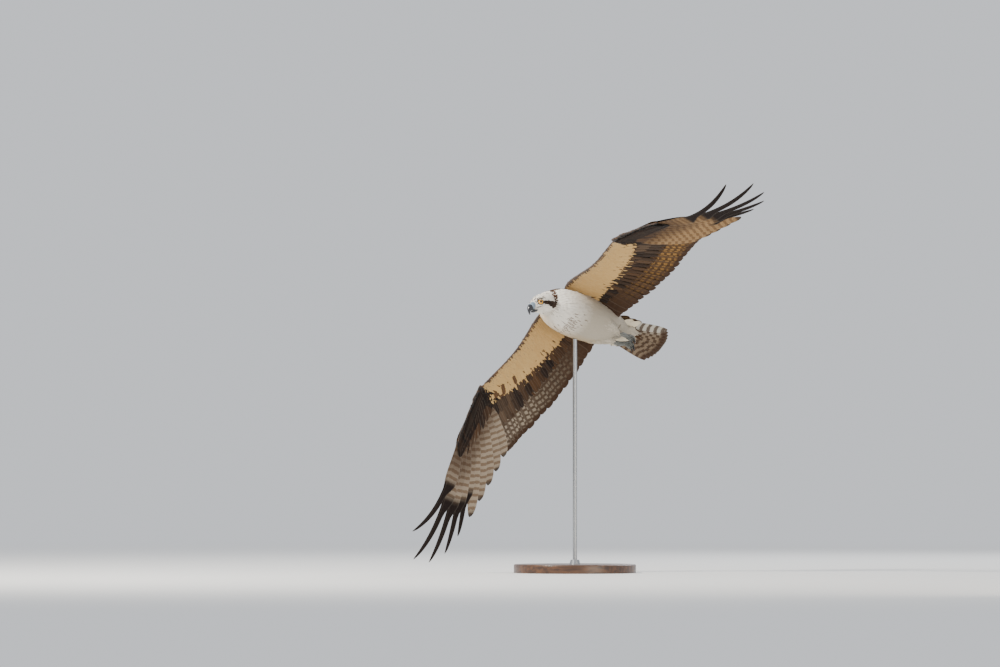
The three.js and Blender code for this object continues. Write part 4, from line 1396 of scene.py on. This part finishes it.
# %% Rows of coverts on the arm
def arm_coverts(side, face, count, start, end, lift, colour_of):
    """One row along the arm. face is 1 above and -1 below."""
    u = (np.arange(count) + draw.uniform(0.3, 0.7, count)) / count
    wide = ARM_SPAN / count
    v0 = start(u) if callable(start) else np.full(count, start)
    v1 = (end(u) if callable(end) else np.full(count, end)) + draw.uniform(-0.012, 0.012, count)
    root = arm_point(side, u * 0.98, v0, face * lift)
    tip = arm_point(side, u, v1, face * lift * 0.85)
    return root, tip, arm_up(side, u) * face, np.full(count, wide), colour_of(u, draw.random(count))


def greater_below(u, luck):
    """Nearly black, and greyer near the wrist."""
    dark = blend_colours(BLACKISH, BROWN, luck * 0.7)
    return blend_colours(dark, GREY_BEIGE * 0.45, np.clip(u - 0.6, 0, 1) * luck)


def median_below(u, luck):
    """Chocolate that turns buff towards the body, with black ones among them."""
    mixed = blend_colours(CHOCOLATE, BUFF, np.clip((0.75 - u) * 1.6, 0, 1))
    return np.where((luck < 0.35)[:, None], BLACKISH, mixed)


def lining_below(u, luck):
    """The buff of the wing lining."""
    return arm_colours(u, -np.full(len(u), 0.2), luck)


def dark_above(u, luck):
    """Brown of the upper side."""
    return blend_colours(CHOCOLATE, BROWN, luck * 0.7)


def covert_piece(name, side, face, rows_of):
    """Several rows of coverts on one face of one wing, as one piece."""
    root, tip, up, wide, colour = (np.concatenate(x) for x in zip(*rows_of))
    order = side * face
    return feather_mesh(name, root, tip, up, wide * 0.62, wide * 0.85, [COAT if face < 0 else WING_ABOVE] * 2,
                        colour, side=order, bow=-1.5, tilt=0.05, thick=1.0, camber=0.06, rows=8, cols=4,
                        shape=round_tip, bars=0.0, atlas=True)


for side, word in SIDES:
    below = [
        arm_coverts(side, -1, 28, 0.36, 0.68, 5.0, greater_below),
        arm_coverts(side, -1, 38, 0.30, lambda u: 0.48 + 0.06 * (1 - u), 6.8, greater_below),
        arm_coverts(side, -1, 34, 0.2, lambda u: buff_edge(u) + 0.02, 8.6, lining_below),
    ]
    settle(covert_piece(f"coverts_below_{word}", side, -1, below), "wing_plumage")
    above = [
        arm_coverts(side, 1, 22, 0.36, 0.72, 5.0, dark_above),
        arm_coverts(side, 1, 30, 0.26, 0.52, 7.6, dark_above),
        arm_coverts(side, 1, 36, 0.16, 0.38, 9.6, dark_above),
    ]
    settle(covert_piece(f"coverts_above_{word}", side, 1, above), "wing_plumage")

# %% [markdown]
# ## Coverts of the hand
# On the hand the coverts fan with the primaries. Below, the short rows are nearly black and make the
# dark patch at the wrist, which is a mark of the species.

# %% Rows of coverts on the hand
def hand_coverts(side, face, count, reach, back, lift, colour_of):
    """One row on the hand. face is 1 above and -1 below."""
    share = (np.arange(count) + 0.5) / count
    fan = np.radians(57 - 50 * share)
    start = HAND_BONE["from"] - 14 + (HAND_BONE["to"] + 20 - HAND_BONE["from"]) * share
    length = reach * (0.9 + 0.2 * share)
    drop = 4 - 15 * share ** 2
    root = hand_point(side, start, back * (1 - 0.6 * share), face * lift)
    out = start + length * np.cos(fan)
    behind = back * 0.8 + length * np.sin(fan)
    tip = hand_point(side, out, behind, face * lift + drop)
    up = np.tile(mirror(HAND_UP, side) * face, (count, 1))
    wide = np.full(count, HAND_SPAN / count)
    return root, tip, up, wide, colour_of(share, draw.random(count))


def primary_below(share, luck):
    """Dark, with brown ones among them."""
    return blend_colours(BLACKISH, BROWN, 0.1 + 0.6 * luck * (1 - 0.4 * share))


def wrist_patch(share, luck):
    """Nearly black."""
    return blend_colours(BLACKISH * 0.6, CHOCOLATE * 0.8, luck * 0.45)


for side, word in SIDES:
    below = [
        hand_coverts(side, -1, 12, 86, 22, 5.0, primary_below),
        hand_coverts(side, -1, 16, 55, 16, 7.0, wrist_patch),
        hand_coverts(side, -1, 20, 40, 8, 8.0, wrist_patch),
    ]
    settle(covert_piece(f"hand_coverts_below_{word}", side, -1, below), "wing_plumage")
    above = [
        hand_coverts(side, 1, 12, 110, 24, 3.6, dark_above),
        hand_coverts(side, 1, 16, 70, 20, 4.8, dark_above),
        hand_coverts(side, 1, 20, 44, 14, 5.8, dark_above),
    ]
    settle(covert_piece(f"hand_coverts_above_{word}", side, 1, above), "wing_plumage")

# %% [markdown]
# ## Tail
# Twelve feathers fan out from the rump, the middle pair on top. They are barred dark brown and buff
# below, with pale patches on the outermost left feather, and the tail is twisted a little to steer.

# %% Tail feathers
TAIL_BACK = np.array([-1.0, 0.0, 0.012])
TAIL_UP = np.array([0.0, -math.sin(TAIL_TWIST), math.cos(TAIL_TWIST)])
TAIL_ACROSS = unit(np.cross(TAIL_BACK, TAIL_UP))
TAIL_GROUND = screen(124, 107, 88)
TAIL_PATCH = SHADE_WHITE * 0.62


def tail_point(x, y, z):
    """A point in the tail's own axes: forward, across and up."""
    x, y, z = (np.asarray(k, float)[..., None] for k in (x, y, z))
    return TAIL_ROOT - x * unit(TAIL_BACK) + y * TAIL_ACROSS + z * TAIL_UP


for side, word in SIDES:
    number = np.arange(TAIL_PAIRS)
    share = (number + 0.4) / (TAIL_PAIRS - 0.6)
    angle = side * share * TAIL_HALF_FAN
    root = tail_point(0, side * TAIL_SPREAD * share, -number * 1.5)
    length = TAIL_LENGTH - TAIL_ROUNDING * share ** 2
    way = np.cos(angle)[:, None] * unit(TAIL_BACK) + np.sin(angle)[:, None] * TAIL_ACROSS
    tip = root + way * length[:, None]
    outermost = share ** 6 if side > 0 else share * 0
    pale = blend_colours(TAIL_GROUND, TAIL_PATCH, outermost)
    piece = feather_mesh(f"tail_{word}", root, tip, np.tile(TAIL_UP, (TAIL_PAIRS, 1)), 12.0, 12.5,
                         [TAIL_ABOVE, TAIL_BELOW], CHOCOLATE * 1.4, below=pale, side=side, bow=-2.0,
                         tilt=0.03, thick=1.4, camber=0.02, rows=24, cols=6,
                         shape=lambda t: round_tip(t * 0.965), bars=0.7, dark_from=0.88, bars_below=0.85,
                         dark_below=0.88 + 0.06 * outermost, atlas=True)
    settle(piece, "tail_plumage", "tail")

# %% [markdown]
# ## Coverts of the tail
# Longer, loose coverts hide where the tail feathers grow out of the rump: cream below and brown
# above. They are scattered rather than set in rows.

# %% Tail coverts
def tail_coverts(face, count, reach, colour):
    """Coverts scattered over the root of the tail. face is 1 above and -1 below."""
    x = draw.uniform(-26, 20, count)
    y = draw.uniform(-26, 26, count)
    z = face * ((15 if face < 0 else 10) - 0.22 * np.abs(y)) - 3
    root = tail_point(x, y, z)
    angle = y * 0.012
    way = np.cos(angle)[:, None] * unit(TAIL_BACK) + np.sin(angle)[:, None] * TAIL_ACROSS
    length = reach * draw.uniform(0.75, 1.1, count)
    tip = root + way * length[:, None] - TAIL_UP * (face * (z * face - 2) * 0.75)[:, None]
    return root, tip, np.tile(TAIL_UP * face, (count, 1)), np.full(count, 17.0), np.tile(colour, (count, 1))


cream_below = tail_coverts(-1, 80, 56, blend_colours(SHADE_WHITE, CREAM, 0.5) * 0.92)
brown_above = tail_coverts(1, 60, 66, CHOCOLATE)
for face, word, rows_here in ((-1, "below", cream_below), (1, "above", brown_above)):
    settle(covert_piece(f"tail_coverts_{word}", 1, face, [rows_here]), "tail_plumage")

# %% [markdown]
# ## Bill
# The bill is drawn out ring by ring along its hook, each ring slanted from the ridge to the cutting
# edge, then smoothed with a subdivision surface. Blue-grey skin, the cere, wraps its base and holds
# the slit nostrils.

# %% Bill
UPPER_BILL = np.array([
    [31, 13, 28, -8, 12.5],
    [41, 11.5, 38, -8.5, 10.8],
    [49, 9, 45, -9, 8.8],
    [56, 4, 50.5, -9.5, 6.6],
    [60.5, -3, 54.5, -11, 4.6],
    [62.5, -11, 58, -15, 2.9],
    [62, -19, 59.8, -20, 1.3],
], float)
LOWER_BILL = np.array([
    [26, -9.2, 27, -16.5, 9.6],
    [36, -9.5, 37, -17, 7.8],
    [45, -10, 45, -16.5, 5.4],
    [51.5, -11, 50.5, -14.5, 2.6],
], float)


def bill_rings(rows, count, grow=0.0):
    """Rings along a half of the bill, slanted from its ridge to its cutting edge."""
    rings = []
    for top_x, top_z, low_x, low_z, half in through(rows, np.linspace(0, 1, count)):
        top = from_head([top_x, 0, top_z])
        low = from_head([low_x, 0, low_z])
        up = unit(top - low)
        reach = np.linalg.norm(top - low) / 2 + grow
        rings.append(place(oval((top + low) / 2, HEAD_AXES[1], up, half + grow, reach, reach, 20, 2.0)))
    return rings


def drawn_piece(name, rings, finish):
    """A closed tube through rings, smoothed, as a piece."""
    shape = bmesh.new()
    draw_out(shape, rings)
    bmesh.ops.recalc_face_normals(shape, faces=shape.faces)
    made = finished(name, shape, finish)
    smooth = made.modifiers.new("smooth", "SUBSURF")
    smooth.levels = smooth.render_levels = 1
    return made


horn = Finish("black_horn", 0.28, Coat_Weight=0.3, Coat_Roughness=0.2)
grain = horn.noise(900.0, 3.0)
horn.colour(horn.mix(grain, screen(22, 23, 27), screen(52, 52, 56)))
horn.bump(grain, 0.0002, 0.3)
cere = Finish("blue_grey_cere", 0.45, Coat_Weight=0.15)
pores = cere.noise(1400.0, 3.0)
cere.colour(cere.mix(pores, screen(104, 122, 138), screen(142, 158, 170)))
cere.bump(pores, 0.0003, 0.4)

upper_rings = bill_rings(UPPER_BILL, 18)
settle(drawn_piece("bill_hook", upper_rings, horn.material), "bill_horn", "bill_upper")
settle(drawn_piece("bill_under", bill_rings(LOWER_BILL, 8), horn.material), "bill_horn", "bill_lower")
cere_rings = bill_rings(UPPER_BILL, 18, 0.35)[:7]
settle(drawn_piece("cere", cere_rings, cere.material), "bill_horn")

# %% [markdown]
# ## Nostrils
# The nostrils are narrow slits in the cere, which a fishing bird can close. Each is a dark oval in a
# raised rim, and the rim is a small circle spun into a ring and stretched.

# %% Nostrils
NOSTRIL = np.array([41.0, 10.5, 4.2])
NOSTRIL_LONG = 0.0029
NOSTRIL_HALF = 0.0012
NOSTRIL_RIM = 0.0006
NOSTRIL_DEEP = 0.0004
pit = Finish("nostril_pit", 0.9)
pit.colour(screen(12, 12, 14))
for side, word in SIDES:
    outward = unit(HEAD_AXES[1] * side + HEAD_AXES[0] * 0.22 + HEAD_AXES[2] * 0.35)
    slit = HEAD_AXES[2] + HEAD_AXES[0] * 0.5
    out = Vector(turn(outward))
    lengthwise = Vector(turn(unit(slit - outward * (slit @ outward))))
    turned = Matrix((lengthwise.cross(out), lengthwise, out)).transposed().to_4x4()
    matrix = Matrix.Translation(Vector(place(from_head(mirror(NOSTRIL, side))))) @ turned
    rim = spun_ring(NOSTRIL_RIM, NOSTRIL_HALF, 0, 32)
    bmesh.ops.scale(rim, vec=(1, NOSTRIL_LONG / NOSTRIL_HALF, 1), verts=rim.verts)
    bmesh.ops.transform(rim, matrix=matrix, verts=rim.verts)
    settle(finished(f"nostril_rim_{word}", rim, cere.material), "bill_horn")
    hole = bmesh.new()
    bmesh.ops.create_uvsphere(hole, u_segments=20, v_segments=12, radius=1.0)
    bmesh.ops.scale(hole, vec=(NOSTRIL_HALF, NOSTRIL_LONG, NOSTRIL_DEEP), verts=hole.verts)
    bmesh.ops.transform(hole, matrix=matrix, verts=hole.verts)
    settle(finished(f"nostril_{word}", hole, pit.material), "bill_horn")

# %% [markdown]
# ## Eyes
# The eyeball is a sphere turned so that its pole looks out of the socket. The angle from that pole is
# kept on its vertices, and the finish paints pupil, iris and dark rim from it, so the eye looks the
# same way from every side.

# %% Eyes and lids
iris = Finish("wet_eye", 0.08, Coat_Weight=1.0, Coat_Roughness=0.03)
ring_share = iris.add("ShaderNodeAttribute", {"attribute_name": "from_pole"}).outputs["Fac"]
fibres = iris.noise(2600.0, 2.0)
yellow = iris.mix(fibres, screen(246, 186, 22), screen(214, 140, 10))
pupil = iris.mix(iris.span(ring_share, 0.27, 0.30), screen(6, 6, 8), yellow)
rimmed = iris.mix(iris.span(ring_share, 0.56, 0.62), pupil, screen(20, 16, 14))
iris.colour(rimmed)
lid_skin = Finish("dark_lid", 0.5)
lid_skin.colour(lid_skin.mix(lid_skin.noise(1500.0), screen(30, 28, 30), screen(62, 58, 58)))
lid_skin.bump(lid_skin.noise(1500.0), 0.0002, 0.4)


LID_TUBE = 0.0011
LID_RADIUS = 0.0078
LID_HEIGHT = 0.0046


def gaze(side):
    """The way an eye looks, in the bird's frame."""
    return unit(HEAD_AXES[1] * side + HEAD_AXES[0] * 0.42 + HEAD_AXES[2] * 0.06)


def aim(centre, direction):
    """The matrix that sets +Z along a direction at a centre."""
    turned = Vector(turn(direction)).to_track_quat("Z", "Y").to_matrix().to_4x4()
    return Matrix.Translation(Vector(place(centre))) @ turned


for side, word in SIDES:
    matrix = aim(from_head(mirror(EYE_PLACE, side)), gaze(side))
    ball = bmesh.new()
    bmesh.ops.create_uvsphere(ball, u_segments=40, v_segments=28, radius=EYE_RADIUS * 0.001)
    mark = ball.verts.layers.float.new("from_pole")
    for vert in ball.verts:
        vert[mark] = math.acos(max(-1, min(1, vert.co.z / (EYE_RADIUS * 0.001)))) / (math.pi / 2)
    bmesh.ops.transform(ball, matrix=matrix, verts=ball.verts)
    settle(finished(f"eyeball_{word}", ball, iris.material), "eye", f"eye_{word}")
    rim = spun_ring(LID_TUBE, LID_RADIUS, LID_HEIGHT, 36)
    bmesh.ops.transform(rim, matrix=matrix, verts=rim.verts)
    settle(finished(f"eyelid_{word}", rim, lid_skin.material), "eye")

# %% [markdown]
# ## Corners of the mouth
# The gape runs back from the bill to below the eye, as a thin soft fold in the feathers. It is drawn
# out along a line that is laid on the skin, so it follows the cheek.

# %% Gape
GAPE = np.array([[37, 10.4, -8.8], [28, 17, -8.0], [19.5, 21.5, -9.8]], float)
for side, word in SIDES:
    fold, facing = nearest_skin(from_head(bezier(*(mirror(p, side) for p in GAPE), np.linspace(0, 1, 12))))
    fold = fold + facing * 0.8
    radii = np.interp(np.linspace(0, 1, 12), [0, 0.6, 1], [0.9, 0.8, 0.3])
    settle(drawn_piece(f"gape_{word}", [place(r) for r in tube_rings(fold, radii, 10)], lid_skin.material),
           "bill_horn")

# %% [markdown]
# ## Feet
# An osprey flies with its feet drawn up under the tail and its toes clenched. Each toe is a tube with
# pads, drawn out along a bow, and ends in a curved black talon. The skin is covered in small scales,
# which the finish raises from a cell pattern.

# %% Feet
scales = Finish("scaly_foot", 0.6)
where = scales.add("ShaderNodeTexCoord").outputs["Object"]
cell_map = scales.add("ShaderNodeTexVoronoi", {"feature": "DISTANCE_TO_EDGE"}, Vector=where, Scale=520.0)
gap = scales.span(cell_map.outputs["Distance"], 0.0, 0.12)
skin_tone = scales.mix(scales.noise(120.0), screen(104, 106, 102), screen(138, 139, 132))
scales.colour(scales.mix(gap, screen(66, 67, 66), skin_tone))
scales.bump(gap, 0.0006, 0.8)
SHANK_RADIUS = 6.6
TOE_RADII = (5.4, 4.0)
TALON_RADII = (3.1, 0.3)
TOES = [
    [-14, -5, 4, -20, -5, -9],
    [-18, 0, 3, -25, 0.5, -11],
    [-14, 5, 3, -20, 6, -10],
    [6, 1, -8, -6, 1, -16],
]
for side, word in SIDES:
    sole = LEGS[side][4]
    t = np.linspace(0, 1, 8)
    shank = bezier(*LEGS[side][2:], t)
    settle(drawn_piece(f"shank_{word}", [place(r) for r in tube_rings(shank, np.full(8, SHANK_RADIUS), 14)],
                       scales.material), "foot_skin", f"foot_{word}")
    for k, (bx, by, bz, tx, ty, tz) in enumerate(TOES):
        t = np.linspace(0, 1, 14)
        bend = sole + mirror([bx * 1.3, by * 1.3, bz * 1.2], side)
        end = sole + mirror([tx, ty, tz], side)
        line = bezier(sole, bend, end, t)
        radii = np.interp(t, [0, 1], TOE_RADII) * (1 + 0.09 * np.sin(t * 6 * np.pi))
        settle(drawn_piece(f"toe_{word}_{k}", [place(r) for r in tube_rings(line, radii, 14)],
                           scales.material), "foot_skin")
        way = unit(end - bend)
        t = np.linspace(0, 1, 9)
        hook = bezier(end - way * 3, end + way * 8, end + way * 9 + np.array([8, 0, -8]), t)
        thin = np.interp(t, [0, 1], TALON_RADII)
        settle(drawn_piece(f"talon_{word}_{k}", [place(r) for r in tube_rings(hook, thin, 12)],
                           horn.material), "foot_skin")

# %% [markdown]
# ## Stand
# The stand is plain: a turned, stained wooden base with a soft edge, and a brushed steel rod with a
# collar. The base is a profile spun about the upright axis.

# %% Stand
BASE_RADIUS = 0.170
BASE_HEIGHT = 0.024
BASE_EDGE = 0.004
wood = Finish("stained_wood", 0.38, Coat_Weight=0.35, Coat_Roughness=0.25)
spot = wood.add("ShaderNodeTexCoord").outputs["Object"]
stretched = wood.add("ShaderNodeMapping", Vector=spot)
stretched.inputs["Scale"].default_value = (3.0, 34.0, 34.0)
rings_of_wood = wood.noise(3.0, 6.0, stretched.outputs["Vector"], 0.6)
fibre = wood.noise(40.0, 4.0, stretched.outputs["Vector"])
wood.colour(wood.mix(wood.span(rings_of_wood, 0.35, 0.65), screen(58, 36, 22), screen(98, 64, 38)))
wood.bump(fibre, 0.0002, 0.3)


def spun_piece(name, profile, finish, steps=128):
    """A profile of (radius, height) points spun about the upright axis."""
    shape = bmesh.new()
    line = [shape.verts.new((r, 0, z)) for r, z in profile]
    for a, b in zip(line, line[1:]):
        shape.edges.new((a, b))
    spin(shape, steps)
    made = finished(name, shape, finish)
    made.data.set_sharp_from_angle(angle=math.radians(35))
    return made


turn_share = np.linspace(0, math.pi / 2, 7)
edge = [(BASE_RADIUS - BASE_EDGE + BASE_EDGE * math.cos(a), BASE_HEIGHT - BASE_EDGE + BASE_EDGE * math.sin(a))
        for a in turn_share]
settle(spun_piece("turned_base", [(0, 0), (BASE_RADIUS, 0)] + edge + [(0, BASE_HEIGHT)], wood.material),
       "base_wood", "stand_base")
steel = Finish("brushed_steel", 0.34, Metallic=1.0)
steel_spot = steel.add("ShaderNodeMapping", Vector=steel.add("ShaderNodeTexCoord").outputs["Object"])
steel_spot.inputs["Scale"].default_value = (900.0, 900.0, 6.0)
brushed = steel.noise(1.0, 3.0, steel_spot.outputs["Vector"])
steel.colour(steel.mix(brushed, screen(150, 152, 154), screen(186, 188, 190)))
steel.bump(brushed, 0.0001, 0.3)
rod_low, rod_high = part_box("stand_rod")
rod_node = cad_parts["stand_rod"]
rod_node.data.materials.clear()
rod_node.data.materials.append(steel.material)
print("rod from", rod_low.z, "to", rod_high.z)

# %% [markdown]
# ## Floor, light and camera
# A wide pale floor under a plain pale surround sets the bird off and lights it softly from all round.
# The camera is level, far off and long, and it frames the bird as the photo does.

# %% Floor
FLOOR_GAP = 0.0002
floor_shape = bmesh.new()
bmesh.ops.create_grid(floor_shape, x_segments=4, y_segments=4, size=80)
floor_mesh = bpy.data.meshes.new("floor")
floor_shape.to_mesh(floor_mesh)
floor_shape.free()
floor_finish = Finish("pale_floor", 0.9)
floor_finish.colour(screen(226, 226, 224))
SURROUND = (0.86, 0.89, 0.94)
SURROUND_STRENGTH = 0.88
far = floor_finish.add("ShaderNodeVectorMath", {"operation": "LENGTH"},
                       i0=floor_finish.add("ShaderNodeTexCoord").outputs["Object"]).outputs["Value"]
haze = floor_finish.add("ShaderNodeEmission", Strength=SURROUND_STRENGTH, Color=SURROUND)
fade = floor_finish.add("ShaderNodeMixShader", i0=floor_finish.span(far, 1.2, 7.0),
                        i1=floor_finish.shader.outputs[0], i2=haze.outputs[0])
floor_finish.tree.links.new(fade.outputs[0], floor_finish.tree.nodes["Material Output"].inputs["Surface"])
floor_mesh.materials.append(floor_finish.material)
floor = as_object("floor", floor_mesh)
floor.location = (0, 0, -FLOOR_GAP)
world = bpy.data.worlds.new("studio")
bpy.context.scene.world = world
world.use_nodes = True
world.node_tree.nodes["Background"].inputs["Color"].default_value = (*SURROUND, 1)
world.node_tree.nodes["Background"].inputs["Strength"].default_value = SURROUND_STRENGTH

print("floor", FLOOR_GAP, "m under the base")

# %% [markdown]
# ## Light
# One warm key light from the front left stands for the sun, a weak low one for light thrown back from
# below, and a cool one behind parts the dark wings from the background.

# %% Lights
def soft_light(name, spot, target, size, power, colour):
    """A round area light at a spot, aimed at a target."""
    lamp = bpy.data.lights.new(name, "AREA")
    lamp.shape = "DISK"
    lamp.size = size
    lamp.energy = power
    lamp.color = colour
    made = as_object(name, lamp)
    made.location = spot
    made.rotation_euler = (Vector(target) - Vector(spot)).to_track_quat("-Z", "Y").to_euler()
    print(name, "light of", power, "W")


MIDDLE = (0, 0, 0.7)
soft_light("key", (-2.8, -1.6, 3.4), MIDDLE, 1.0, 300, (1.0, 0.95, 0.87))
soft_light("fill", (2.2, -3.0, 0.3), MIDDLE, 2.0, 50, (1.0, 0.88, 0.72))
soft_light("back", (1.5, 3.2, 2.4), MIDDLE, 2.0, 70, (0.95, 0.97, 1.0))

# %% [markdown]
# ## Camera
# The picture was taken from far away, so the wings show no strong perspective. A distant camera with
# a long lens gives that, and its width of view is the scale found from the species.

# %% Camera
DISTANCE = 40.0
FRAME_WIDTH = 2.778
AIM_ASIDE = -0.178
AIM_UP = -0.0667
camera = bpy.data.cameras.new("camera")
camera.sensor_width = 36.0
camera.lens = 36.0 * DISTANCE / FRAME_WIDTH
camera.clip_end = 300.0
eye_point = as_object("camera", camera)
body_place = place([0, 0, 0])
eye_point.location = (body_place[0] + AIM_ASIDE, body_place[1] - DISTANCE, body_place[2] + AIM_UP)
eye_point.rotation_euler = (math.pi / 2, 0, 0)
bpy.context.scene.camera = eye_point
print("camera lens", camera.lens)
